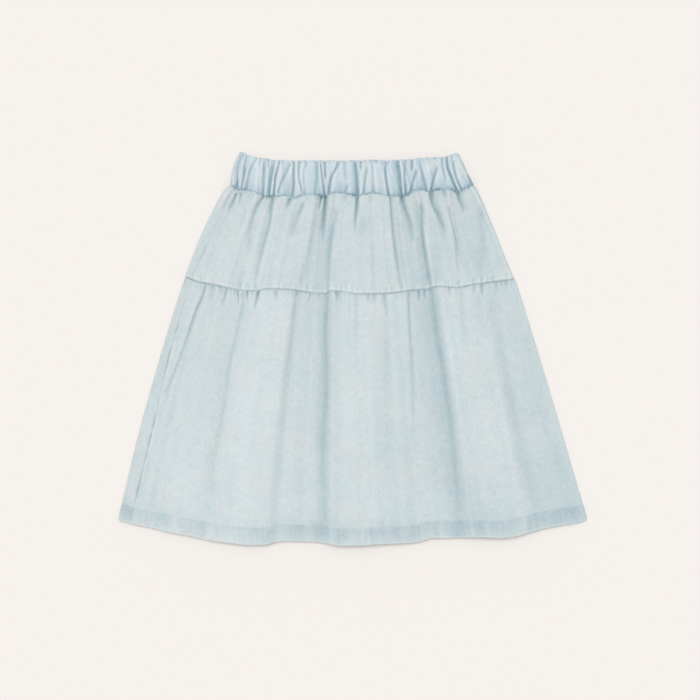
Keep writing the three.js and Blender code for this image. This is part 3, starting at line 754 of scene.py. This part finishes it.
UPPER_CREASES = [
    ([(-127.6, 171), (-131, 163), (-135.3, 155)], 1.9, 2.4, 2.4, 1, 10),
    ([(-133.5, 172), (-141.5, 155)], 2.0, 2.4, 1.3, 2, 9),
    ([(-122.5, 171), (-124, 163)], 1.8, 1.8, 1.8, 2, 6),
    ([(-97.9, 168.5), (-104.5, 158), (-108.5, 148), (-111.5, 137), (-114, 124)],
     2.4, 2.6, 2.2, 1, 22),
    ([(-87.5, 167), (-89.8, 155), (-91, 142), (-94, 130), (-97.4, 119), (-102.9, 97), (-107, 78)],
     3.0, 2.4, 2.3, 1, 24),
    ([(-68, 167), (-72.1, 157)], 2.2, 2.4, 2.4, 1, 7),
    ([(-54.5, 159), (-61, 143), (-65.5, 130)], 3.0, 2.0, 1.9, 5, 14),
    ([(-34, 168), (-36.5, 156)], 1.9, 1.9, 2.8, 1, 6),
    ([(-29.6, 168.5), (-30.8, 154), (-32.5, 130)], 2.4, 2.2, 3.4, 1, 20),
    ([(-18.5, 150), (-20, 143), (-23, 129), (-25, 117), (-27, 97), (-27.2, 50)], 5.5, 4.6, 2.1, 8, 4),
    ([(5.4, 169), (4.8, 158), (3, 142)], 1.7, 1.8, 2.9, 1, 24),
    ([(11, 142), (12, 122)], 6.0, 6.0, 0.9, 8, 12),
    ([(41.6, 169.5), (43, 150), (44.6, 130), (47.6, 108), (51, 86), (53.5, 70)], 1.7, 2.4, 1.8, 1, 26),
    ([(53.5, 170), (56, 160), (60.5, 148), (63.5, 140), (66, 126)], 3.0, 2.8, 3.1, 1, 14),
    ([(84.5, 174), (88.5, 158), (94, 149), (97.5, 141), (101, 132)], 2.4, 3.4, 3.2, 1, 12),
    ([(75, 157), (75.6, 145), (76.6, 130), (77.8, 117), (80, 99), (82, 86), (85, 62)],
     4.2, 2.6, 2.6, 8, 4),
    ([(114.8, 174), (117.6, 164.5), (122, 155)], 1.8, 3.0, 3.0, 1, 8),
    ([(106, 155), (109, 141), (111.8, 130), (113.9, 119), (115, 104), (116, 86)], 1.6, 2.0, 1.4, 6, 14),
    ([(141.5, 148), (143.5, 112), (141, 92)], 5.5, 5.5, 2.0, 14, 22),
    ([(-117, 150), (-124.9, 128)], 3.5, 3.5, 1.1, 6, 12),
    ([(22.5, 112), (24, 82)], 4.0, 4.0, 0.7, 14, 14),
    ([(20, 169.5), (19.5, 163)], 2.0, 2.0, 1.2, 1, 5),
    ([(-111, 172), (-113, 165)], 2.0, 2.0, 1.0, 1, 5),
    ([(-8, 169.5), (-9, 164)], 1.8, 1.8, 1.2, 1, 4),
    ([(101, 174.5), (103, 166)], 1.8, 1.8, 1.4, 1, 5),
]

# Patches that kept more or less of their blue: x, y, half their width and height, how much.
UPPER_PATCHES = [
    (-40, 105, 14, 22, -0.07), (-125, 160, 16, 10, 0.08), (-115, 97, 16, 20, -0.07),
    (13, 133, 10, 16, 0.09), (92, 76, 10, 18, 0.10), (92, 130, 9, 50, 0.12), (171, 80, 12, 12, -0.10),
]


def patches(table, x, y):
    """How much bluer the cloth is at each x, y for the patches in a table."""
    return sum(bluer * np.exp(-((x - place_x) / half_x) ** 2 - ((y - place_y) / half_y) ** 2)
               for place_x, place_y, half_x, half_y, bluer in table)


def upper_edges(v):
    """The side folds of the upper tier, which springs out just under the casing."""
    spring = (1 - v) * (1 - np.exp(-v / 0.036))
    left = lerp(-134, -184.4, v) - 4.6 * spring - 11 * v * (1 - v)
    right = lerp(134, 178.0, v) + 0.5 * spring + 8 * v * (1 - v) ** 2
    return left, right


def upper_seam_in(v):
    """How far the left side seam has rolled onto the front."""
    return along([(0, 4.5), (0.12, 7.5), (0.5, 9), (1, 7.5)], v)


def upper_line(share, v):
    """How far up the skirt the upper tier lies, share of the way across it."""
    return lerp(casing_line(share, 1), part_way(TIER_SEAM, share)[1], v)


UPPER_START = WAIST_HEIGHT - 1.4    # the height of its face just under the casing


def upper_fold_height(v):
    """How high the upper tier's side folds stand."""
    return lerp(UPPER_START, 4.2, ease(0.0, 0.42, v))


def lower_fold_height(v):
    """How high the lower tier's side folds stand."""
    return 3.4 + 0.8 * np.exp(-v / 0.06) + 1.4 * ease(0.86, 0.95, v)


def lower_marks(v):
    """The lower tier's fold lines at a level: each one's x, and the height of the face."""
    table = np.array(LOWER_FOLDS, float).T
    return through_three(*table[:3], v), through_three(*table[3:], v)


SEAM_FACE = (-174.8, 174.8)     # the face along the tier seam, from side fold to side fold


def seam_height(x):
    """The height of the cloth along the tier seam."""
    marks_x, marks_z = lower_marks(0.0)
    left, right = SEAM_FACE
    edge = float(lower_fold_height(0.0))
    return smooth_curve([left, *marks_x, right], [edge, *marks_z, edge], x)


def tier_ditch(x):
    """How deep the tier seam lies."""
    return 0.9 + 0.2 * uneven(27, x, 4)


PLAIN_HEIGHT = 6                # heights in UPPER_FOLDS are above or below this one


def upper_marks(v):
    """The upper tier's fold lines at a level: each one's x, and the height of the face."""
    top, middle, bottom, heights = np.array(UPPER_FOLDS, float).T
    relief = (heights - PLAIN_HEIGHT) * lerp(0.6, 1, ease(0, 0.3, v))
    height = lerp(UPPER_START, PLAIN_HEIGHT, ease(0, 0.46, v)) + relief
    return through_three(top, middle, bottom, v), lerp(height, seam_height(bottom), ease(0.5, 1, v))


def folded_face(marks_x, marks_z, start, end, edge_z, pitch):
    """Points across each row: x and the height of the face, with a column on each line."""
    x = np.hstack([start, marks_x, end])
    z = np.hstack([edge_z, marks_z, edge_z])
    counts = np.maximum(4, np.rint(np.diff(x[len(x) // 2]) / pitch)).astype(int)
    stops = np.concatenate([[0], np.cumsum(counts)])
    places = np.arange(stops[-1] + 1)
    face_x = np.array([np.interp(places, stops, row) for row in x])
    face_z = np.array([smooth_curve(*pair) for pair in zip(x, z, face_x)])
    return face_x, face_z


HEM_ROLL = 0.75                 # radius of the turned hem's lower edge
CLEAR_OF_BACK = 2.2             # the front panels stay this high, over the back ones
LOW_CLOTH = (9.0, 2.0)          # cloth is bluer from the first of these heights to the second
BEND_REACH = 5                  # a point's hollow is judged by the cloth this far each way
TIER_FLARE = 1.7                # how much wider a crease is where it runs out
BACK_CREASES = 0.6              # how deep the hidden side's creases are beside the front's


def side_seam(seed, beside, y, strength):
    """The puckered ditch of a side seam: how deep it sinks; how blue it is, with painted shade in
    its ditch, its pucker pits and the small dark dashes beside it; and its wear, with a painted
    highlight along the ridge beside it.
    """
    away = np.abs(beside)
    tight = np.clip(0.45 + 0.9 * uneven(seed, y, 8), 0, 1.2)
    ditch = 0.5 * np.exp(-(away / 1.1) ** 2) * tight
    pucker = 0.45 * uneven(seed + 1, y + 0.3 * beside, 5) * np.exp(-away / 5)
    dots = np.clip(uneven(seed + 2, y, 8) - 0.5, 0, 1) * np.exp(-((beside - 3.2) / 1.3) ** 2)
    # Painted shade, as bluer cloth, in the ditch, the pucker pits and the dashes.
    blue = 0.30 * np.exp(-(away / 0.9) ** 2) * tight + 0.15 * np.maximum(pucker, 0) + 0.5 * dots
    rub = 0.5 * np.exp(-((beside - 2.2) / 1.0) ** 2) * np.clip(uneven(seed + 3, y, 7) + 0.3, 0, 1)
    deep = strength * (ditch + pucker + 0.5 * dots)
    return deep, strength * (blue + 0.04 * np.exp(-away / 9)), strength * rub


def tier_panel(name, front, pitch, *, rows, edges, lies_at, seam_in, fold_height, marks,
               creases, shape, meets, crispness, cut_width):
    """A panel of a tier, with a column of points every pitch. Each of its rows, from the lower
    edge up, is a level from the upper seam (0) to the lower edge (1), how far it has turned
    round the hem, how far up it is moved from there, and how deep it is tucked. meets gives
    the seams above and below: how near each is, the height of the cloth there, and how deep
    the seam lies; crispness is how plainly the side seam shows."""
    v, turn, reach, tuck = (np.array(column)[:, None] for column in zip(*rows))
    left, right = edges(v)
    height = fold_height(v)
    if front:
        start, end = left + seam_in(v) + SEAM_GAP, right - height / 2
        face = folded_face(*marks(v), start, end, height, pitch)
    else:
        face = plain_face(right - RIGHT_SEAM_IN, left + height / 2, 0, pitch)
    x, z, out_x, out_z, inside = panel_path(front, left, right, seam_in(v), height, *face,
                                            turn_steps=10, tail_steps=8 if front else 14)
    share = (x - left) / (right - left)
    y = lies_at(share, v) + reach
    up = (out_z + 1) / 2
    on_top = ease(0.8, 1, out_z)
    folds, sharp = (lerp(behind, before, up) for behind, before in zip(
        crease_field(mirrored(creases, BACK_CREASES), x, y, TIER_FLARE),
        crease_field(creases, x, y, TIER_FLARE)))

    # How deep the face sinks, and its height where it meets a seam.
    relief, blue, rub, line = shape(share, x, y, v)
    seam_deep, seam_blue, seam_rub = side_seam(70, x - left - seam_in(v), y,
                                               crispness * ease(0, 0.35, v) * ease(0.95, 0.85, v))
    sink = folds + 0.5 * sharp + relief + on_top * seam_deep
    for near, level, ditch in meets(x, v):
        z = lerp(z, level, near * on_top)
        sink = lerp(sink, ditch, near)

    # How hollow, low and steep the cloth is, before it is moved.
    near_columns = max(2, round(BEND_REACH / pitch))
    hollow = on_top * hollows(z - sink, near_columns) + (1 - on_top) * hollows(-sink, near_columns)
    sheltered = on_top * np.clip(hollows(z - sink, 2 * near_columns), 0, 4)
    low = on_top * np.clip((LOW_CLOTH[0] - z) / (LOW_CLOTH[0] - LOW_CLOTH[1]), 0, 1)
    slope = np.abs(np.gradient(z - sink, axis=1) / np.maximum(np.abs(np.gradient(x, axis=1)), 0.1))

    # Where the points lie, with the hem turned up.
    sink_in = sink + HEM_ROLL * (1 - np.cos(turn)) + inside + tuck
    y = y - HEM_ROLL * np.sin(turn)
    x = x - out_x * sink_in
    z = np.maximum(z - out_z * sink_in, CLEAR_OF_BACK * on_top)

    # How blue the cloth stayed in its creases and where it lies low, with painted shade in its
    # hollows and on its steep slopes; painted shade along crease bottoms; and wear with a painted
    # highlight on its crests.
    dip = 0.11 * folds + 0.3 * sharp + 0.25 * hollow + 0.15 * sheltered
    dip = dip + 0.50 * np.clip(slope, 0, 0.9) * on_top
    line = np.clip(line + 0.7 * sharp, 0, 1)
    rub = rub + on_top * seam_rub + np.clip(-0.3 * hollow, 0, 0.4)
    blue = blue + 0.15 * low + on_top * seam_blue
    points = np.dstack([x, y, z])
    marks_read = {"dip": np.clip(dip, 0, 1.3), "rub": rub, "blue": blue, "line": line}
    return cloth_sheet(name, points, on_cloth(x, y, z, cut_width), marks_read, denim), points


def upper_shape(share, x, y, v):
    """Small relief of the upper tier: puckers under the casing, and ribs over the allowance;
    then how blue it is, its wear and painted highlight, and its painted shade in dark lines."""
    fan = UPPER_FAN * share
    from_waist = v * UPPER_LENGTH
    from_seam = (1 - v) * UPPER_LENGTH
    gather = 0.7 * (uneven(20, x, 2.8) + 0.7 * uneven(21, x, 6)) * np.exp(-from_waist / 5)
    ripple = 0.45 * uneven(25, fan, 7) + 0.22 * uneven(26, fan, 3)
    allowance = -0.4 * ease(ALLOWANCE - 0.5, ALLOWANCE - 3, from_seam)
    over_allowance = ease(ALLOWANCE, ALLOWANCE / 2, from_seam)
    ribs = uneven(22, x, 1.5)
    rib = 0.55 * ribs * over_allowance * (0.65 + 0.35 * uneven(24, x, 25))
    sway = 0.5 * uneven(23, x + 0.15 * y, 26) * np.sin(math.pi * v)
    blue = 0.06 + 0.10 * np.exp(-from_waist / 7)
    # Painted shadows in the tucks of the waist seam, just under it; they are bluer too.
    line = 0.7 * seam_pits(x) * np.exp(-(from_waist / 2.2) ** 2)
    blue = blue + 0.6 * line + 0.26 * pinched(x) * np.exp(-from_waist / 9)
    blue = blue + patches(UPPER_PATCHES, x, y)
    blue = blue + 0.12 * np.maximum(ribs, 0) * over_allowance
    blue = blue + 0.04 * ease(60, 120, x) - 0.05 * ease(-50, -110, x)
    # A painted highlight along the raised lip just above the tier seam, and wear with a painted
    # highlight on the raised ribs over the allowance.
    rub = 0.3 * np.exp(-((from_seam - 2.4) / 0.9) ** 2)
    rub = rub + 0.3 * np.maximum(-ribs, 0) * ease(9, 5, from_seam)
    return gather + ripple + allowance + rib + sway, blue, rub, line


def upper_meets(x, v):
    """The waist seam and the tier seam, as tier_panel reads them."""
    at_waist = np.exp(-(v * UPPER_LENGTH / 1.2) ** 2)
    at_tier_seam = np.exp(-((1 - v) * UPPER_LENGTH / 0.8) ** 2)
    return [(at_waist, CASING_TOP, waist_ditch(x)), (at_tier_seam, seam_height(x), tier_ditch(x))]


TUCK_ROWS = [(0.0, 0.0, reach - 0.15, depth) for reach, depth in reversed(TUCK_UNDER)]
UPPER_ROWS = [(1.0, 0.0, -TUCK_OVER[0] + SEAM_GAP, TUCK_OVER[1])]
UPPER_ROWS += plain_rows([1.0, 0.996, 0.991, 0.986, 0.98, 0.972], SEAM_GAP)
UPPER_ROWS += plain_rows(np.linspace(0.962, 0.08, 66))
UPPER_ROWS += plain_rows([0.07, 0.061, 0.052, 0.044, 0.036, 0.029, 0.023, 0.018, 0.013, 0.009,
                          0.006, 0.003])
UPPER_ROWS += TUCK_ROWS

UPPER_TIER = dict(rows=UPPER_ROWS, edges=upper_edges, lies_at=upper_line, seam_in=upper_seam_in,
                  fold_height=upper_fold_height, marks=upper_marks, creases=UPPER_CREASES,
                  shape=upper_shape, meets=upper_meets, crispness=0.35, cut_width=UPPER_CUT)
upper_front, _ = tier_panel("upper_front_cloth", True, 0.85, **UPPER_TIER)
upper_back, _ = tier_panel("upper_back_cloth", False, 1.2, **UPPER_TIER)
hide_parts("upper_front")
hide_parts("upper_back")

# ---------------------------------------------------------------- lower tier
# Two long panels, gathered onto the upper tier, joined at the sides, and hemmed: the edge
# is turned up twice, 18 mm deep, and stitched down just below the top of the turning.

HEM = [
    (-258, -186.6), (-245, -190.4), (-223, -194.8), (-201, -199.8), (-179, -204.0),
    (-157, -208.6), (-135, -211.3), (-113, -213.4), (-96, -213.4), (-88, -211.5), (-80, -209.6),
    (-47, -210.2), (-36, -210.8), (-25, -212.3), (-14, -214.2), (8, -213.9), (30, -212.6),
    (63, -211.4), (74, -210), (85, -206.6), (110, -206.0), (140, -204.9), (162, -205.8),
    (173, -204.8), (184, -202.8), (195, -199.6), (206, -197.0), (228, -192.6), (250, -189.0),
    (258, -186.0),
]
LOWER_LENGTH = 272.0            # from the tier seam down to the hem
LOWER_CUT = 530                 # width that each panel was cut, before it was gathered
LOWER_FAN = 480                 # width over which its fine ripples fan out
HEM_DEPTH = 18.0
HEM_STITCHED = HEM_DEPTH - 1.4  # the line of stitching, above the lower edge
LOWER_CREASES = [
    ([(-161, 71), (-166.2, 57), (-172, 44), (-177.6, 27.5), (-183, 11), (-191, -11), (-204, -44)],
     0.9, 1.5, 1.3, 2, 24),
    ([(-154, 70), (-155.5, 59)], 3.5, 3.0, 1.8, 2, 6),
    ([(-137.3, 69), (-142, 53)], 1.2, 1.6, 1.3, 1, 7),
    ([(-126.6, 67), (-125.4, 53)], 1.0, 1.1, 1.7, 1, 5),
    ([(-120, 60), (-121.5, 44), (-126, 27), (-129.5, 11), (-134.8, -11), (-141, -55), (-149, -99),
      (-155, -121)], 4.2, 3.4, 1.9, 10, 50),
    ([(-115.2, 66), (-116.2, 57)], 1.2, 1.4, 1.8, 1, 5),
    ([(-103.2, 66), (-105, 57), (-107.5, 48)], 1.0, 1.3, 1.5, 1, 7),
    ([(-84.8, 64), (-83.2, 56)], 1.1, 1.3, 1.1, 1, 5),
    ([(-61.5, 65), (-63.5, 43), (-66, 19), (-69.4, -5.5), (-75, -33)], 1.8, 4.5, 1.0, 1, 50),
    ([(-46.4, 63), (-48, 54)], 1.1, 1.5, 1.2, 1, 5),
    ([(-37.5, 63), (-38.5, 55)], 1.6, 1.6, 1.4, 1, 6),
    ([(-28, 66), (-29, 44), (-31, 26), (-31, 8), (-29.5, -15), (-30.5, -55), (-33, -88), (-33.8, -121),
      (-32.8, -150), (-31, -185)], 6.5, 5.0, 2.6, 2, 30),
    ([(-18.2, 65), (-17.6, 55)], 1.2, 1.5, 1.5, 1, 5),
    ([(3.3, 62), (5, 20)], 1.8, 2.0, 0.8, 1, 20),
    ([(35, 64), (35.8, 52), (38, 42)], 1.2, 1.8, 1.2, 1, 9),
    ([(61.8, 65), (63, 30), (65.5, -11), (67, -60)], 1.8, 2.2, 1.4, 2, 60),
    ([(73, 66), (73.6, 57)], 1.1, 1.3, 1.3, 1, 5),
    ([(79.5, 67), (80.2, 59)], 1.2, 1.4, 1.8, 1, 5),
    ([(85.8, 68), (88.0, 45), (92.5, 11), (98.5, -22), (103.5, -55), (109, -99), (112, -130),
      (115, -170)], 4.2, 4.6, 2.0, 1, 60),
    ([(118, 69), (120, 50), (123.8, 5.5)], 2.6, 3.2, 1.0, 1, 24),
    ([(133, 72), (134, 64)], 1.8, 1.8, 1.3, 1, 5),
    ([(141.6, 75), (143, 63)], 1.1, 1.5, 2.0, 1, 6),
    ([(139, 58), (143, 42), (148, 22)], 4.5, 5.0, 1.1, 8, 20),
    ([(158, 75), (159.5, 66)], 1.8, 1.8, 1.2, 1, 5),
    ([(159.5, -79), (174, -142), (179.6, -188)], 5.0, 6.0, 0.4, 30, 12),
    ([(38.5, 8), (37.5, -33), (38, -99), (42, -143)], 6.0, 6.0, 0.8, 30, 40),
    ([(205, -60), (217, -99), (236, -143)], 5.0, 5.0, 0.7, 20, 24),
]

LOWER_PATCHES = [
    (-249, -176, 7, 9, 0.28), (-195, -130, 30, 70, -0.07), (-100, -60, 40, 400, -0.03),
    (-80, -40, 16, 60, -0.07), (-40, -60, 12, 200, -0.05), (-24, -10, 9, 110, 0.10),
    (-27, -186, 22, 25, 0.07), (45, -80, 28, 130, 0.07), (-14, -110, 9, 100, 0.05),
    (-165, -90, 20, 50, -0.04), (65, -157, 14, 25, 0.05),
    (78, 40, 14, 50, 0.09), (88, -45, 14, 50, 0.09), (97, -125, 14, 50, 0.09),
    (92, 40, 10, 22, 0.08), (118, -65, 9, 80, 0.06), (127, -165, 13, 60, 0.16),
    (145, -185, 22, 22, 0.16), (118, -186, 12, 16, -0.12), (197, -184, 14, 14, -0.10),
]


def lower_edges(v):
    """The side folds of the lower tier, from its seam (0) to its hem (1)."""
    return through_three(-184.8, -225.3, -258, v), through_three(179.3, 219.95, 258, v)


def lower_seam_in(v):
    """How far the left side seam has rolled onto the front."""
    return along([(0, 7.5), (0.2, 8.5), (0.4, 10), (0.6, 13), (0.8, 13.5), (1, 13)], v)


def lower_line(share, v):
    """How far up the skirt the lower tier lies, share of the way across it."""
    return lerp(part_way(TIER_SEAM, share)[1], part_way(HEM, share)[1], v)


def lower_shape(share, x, y, v):
    """Small relief of the lower tier: gathers under the seam, and the stitched, roped hem;
    then how blue it is, its wear and painted highlight, and its painted shade in dark lines."""
    fan = LOWER_FAN * share
    from_seam = v * LOWER_LENGTH
    from_hem = (1 - v) * LOWER_LENGTH
    pleats = uneven(60, x, 2.2) + 0.7 * uneven(61, x, 5.5)
    gather = 0.65 * pleats * np.exp(-from_seam / 6)
    ripple = 0.12 * uneven(65, fan, 8) + 0.06 * uneven(66, fan, 3.5)
    sway = 0.55 * uneven(62, x + 0.1 * y, 34) * np.sin(math.pi * np.clip(v * 1.1, 0, 1))
    band = ease(HEM_DEPTH + 2.0, HEM_DEPTH - 1.6, from_hem)
    ropes = 0.5 * uneven(63, x + 0.12 * y, 2.3) + 0.55 * uneven(64, x - 0.15 * y, 8)
    rope = 0.22 * ropes * band * ease(0, 3, from_hem)
    stitched = np.exp(-((from_hem - HEM_STITCHED) / 0.8) ** 2)
    # Painted shadow along the tier seam, under the upper tier's edge, and painted shade in the pleats
    # of the gathers just below it; both are bluer too.
    line = 0.05 * np.exp(-(from_seam / 1.5) ** 2)
    blue = 0.12 * np.exp(-(from_seam / 1.5) ** 2) + 0.20 * np.exp(-from_seam / 2.8) + 0.2 * ripple
    line = line + 0.3 * np.clip(pleats - 0.5, 0, 1) * np.exp(-(from_seam / 7) ** 2)
    blue = blue + 0.14 * np.clip(pleats - 0.2, 0, 1) * np.exp(-(from_seam / 9) ** 2)
    blue = blue + band * (0.08 * ease(2, 13, from_hem) + 0.09 * ropes + 0.08 * ease(-140, -90, x))
    blue = blue + 0.06 * stitched
    near_hem = np.exp(-((from_hem - 12) / 13) ** 2)
    blue = blue + near_hem * (0.09 + 0.05 * ease(-110, -60, x))
    blue = blue + 0.06 * ease(60, 190, x) + 0.08 * ease(190, 235, x) * ease(0.5, 0.9, v)
    blue = blue + patches(LOWER_PATCHES, x, y)
    # Lighter in patches just above the turned hem; a painted highlight along its lower fold, which
    # lightens the shade there; and wear with a painted highlight on the raised ropes.
    rub = 0.25 * np.exp(-((from_hem - HEM_DEPTH - 1) / 0.8) ** 2) * np.clip(uneven(67, x, 9), 0, 1)
    rub = rub + 0.35 * np.exp(-(from_hem / 1.2) ** 2) + 0.06 * np.maximum(-ropes, 0) * band
    return gather + ripple + sway - 0.18 * band + rope + 0.4 * stitched, blue, rub, line


def lower_meets(x, v):
    """The tier seam, as tier_panel reads it."""
    return [(np.exp(-(v * LOWER_LENGTH / 1.2) ** 2), seam_height(x), tier_ditch(x))]


# The rows, from the turned-up edge down to the fold, round it, and up to the tier seam.
LOWER_ROWS = [(1 - HEM_DEPTH / LOWER_LENGTH * (1 - k / 6), math.pi, 0.0, 0.0) for k in range(6)]
LOWER_ROWS += [(1.0, math.pi * (1 - k / 5), 0.0, 0.0) for k in range(6)]
LOWER_ROWS += plain_rows(1 - k * 1.25 / LOWER_LENGTH for k in range(1, 17))
LOWER_ROWS += plain_rows(np.linspace(1 - 23 / LOWER_LENGTH, 92 / LOWER_LENGTH, 38))
LOWER_ROWS += plain_rows(np.linspace(89 / LOWER_LENGTH, 16 / LOWER_LENGTH, 25))
LOWER_ROWS += plain_rows(below / LOWER_LENGTH for below in (13.6, 11.6, 9.8, 8.2, 6.8, 5.6, 4.6,
                                                            3.7, 2.9, 2.2, 1.5, 0.9, 0.4))
LOWER_ROWS += TUCK_ROWS

LOWER_TIER = dict(rows=LOWER_ROWS, edges=lower_edges, lies_at=lower_line, seam_in=lower_seam_in,
                  fold_height=lower_fold_height, marks=lower_marks, creases=LOWER_CREASES,
                  shape=lower_shape, meets=lower_meets, crispness=1.0, cut_width=LOWER_CUT)
lower_front, lower_front_points = tier_panel("lower_front_cloth", True, 1.05, **LOWER_TIER)
lower_back, lower_back_points = tier_panel("lower_back_cloth", False, 2.0, **LOWER_TIER)
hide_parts("lower_front")
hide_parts("lower_back")

# ---------------------------------------------------------------- hem stitches
# One line of machine stitches in pale thread, all round the skirt just below the top of
# the turned hem, which it holds down. Each stitch is a short bead, half sunk in the cloth.

STITCH_EVERY = 3.4              # from one stitch to the next
STITCH_LONG = 2.5
STITCH_THICK = 0.75

thread, thread_tree, thread_shader = new_material("pale thread", 0.85, 0.2)
thread_place = thread_tree.nodes.new("ShaderNodeTexCoord")
thread_tone = noise(thread_tree, thread_place.outputs["Object"], 1.0, 0.006)
thread_tree.links.new(mix(thread_tree, spread(thread_tree, thread_tone, 0.3, 0.7),
                          (0.47, 0.56, 0.60, 1), (0.60, 0.66, 0.68, 1)),
                      thread_shader.inputs["Base Color"])


def hem_stitches(name, panel_points):
    """The stitches that hold the hem of one panel, from its one side seam to its other."""
    row = min(range(len(LOWER_ROWS)),
              key=lambda k: abs((1 - LOWER_ROWS[k][0]) * LOWER_LENGTH - HEM_STITCHED))
    points = panel_points[row, len(TUCK_UNDER) + 1:-2]
    points = np.column_stack([points[:, :2], np.maximum(points[:, 2], STITCH_THICK / 2)])
    steps = np.linalg.norm(np.diff(points, axis=0), axis=1)
    run = np.concatenate([[0], np.cumsum(steps)])
    size = Matrix.Diagonal((STITCH_LONG * MM, STITCH_THICK * MM, STITCH_THICK * MM, 1))
    stitches = bmesh.new()
    for place in np.arange(STITCH_EVERY, run[-1] - STITCH_EVERY, STITCH_EVERY):
        near, here, far = (Vector([np.interp(place + step, run, points[:, k]) * MM for k in range(3)])
                           for step in (-1, 0, 1))
        turned = (far - near).to_track_quat("X", "Z").to_matrix().to_4x4()
        bmesh.ops.create_uvsphere(stitches, u_segments=6, v_segments=5, radius=0.5,
                                  matrix=Matrix.Translation(here) @ turned @ size)
    piece = put_in_scene(name, made_mesh(name, stitches, thread))
    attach(piece, "root")
    return piece


hem_stitches_front = hem_stitches("hem_stitches_front", lower_front_points)
hem_stitches_back = hem_stitches("hem_stitches_back", lower_back_points)

# ---------------------------------------------------------------- studio
# A wide plain floor the colour of paper, one big soft lamp nearly overhead, and a camera
# that looks straight down on the skirt.

paper, _, paper_shader = new_material("paper", 1.0, 0.0)
paper_shader.inputs["Base Color"].default_value = (0.80, 0.764, 0.735, 1)
floor_grid = bmesh.new()
bmesh.ops.create_grid(floor_grid, x_segments=1, y_segments=1, size=6.0)
floor = put_in_scene("floor", made_mesh("floor", floor_grid, paper, False))

sky = bpy.data.worlds.new("studio")
sky.use_nodes = True
sky_light = sky.node_tree.nodes["Background"]
sky_light.inputs["Color"].default_value = (1.0, 1.0, 1.0, 1)
sky_light.inputs["Strength"].default_value = 0.55
bpy.context.scene.world = sky
bpy.context.scene.view_settings.view_transform = "Standard"

lamp_light = bpy.data.lights.new("softbox", "SUN")
lamp_light.angle = math.radians(35)
lamp_light.energy = 1.963
lamp = put_in_scene("softbox", lamp_light)
lamp.rotation_euler = Vector((-0.12, 0.22, 1.0)).to_track_quat("Z", "Y").to_euler()

VIEW_WIDTH = 0.77               # metres across the picture,
VIEW_LEVEL = 0.005              # at this height above the floor,
VIEW_MIDDLE = -0.00275          # and centred on this x
LENS = 85.0
SENSOR = 36.0
camera_data = bpy.data.cameras.new("camera")
camera_data.lens = LENS
camera_data.sensor_width = SENSOR
camera = put_in_scene("camera", camera_data)
camera.location = (VIEW_MIDDLE, 0.0, VIEW_WIDTH * LENS / SENSOR + VIEW_LEVEL)
bpy.context.scene.camera = camera
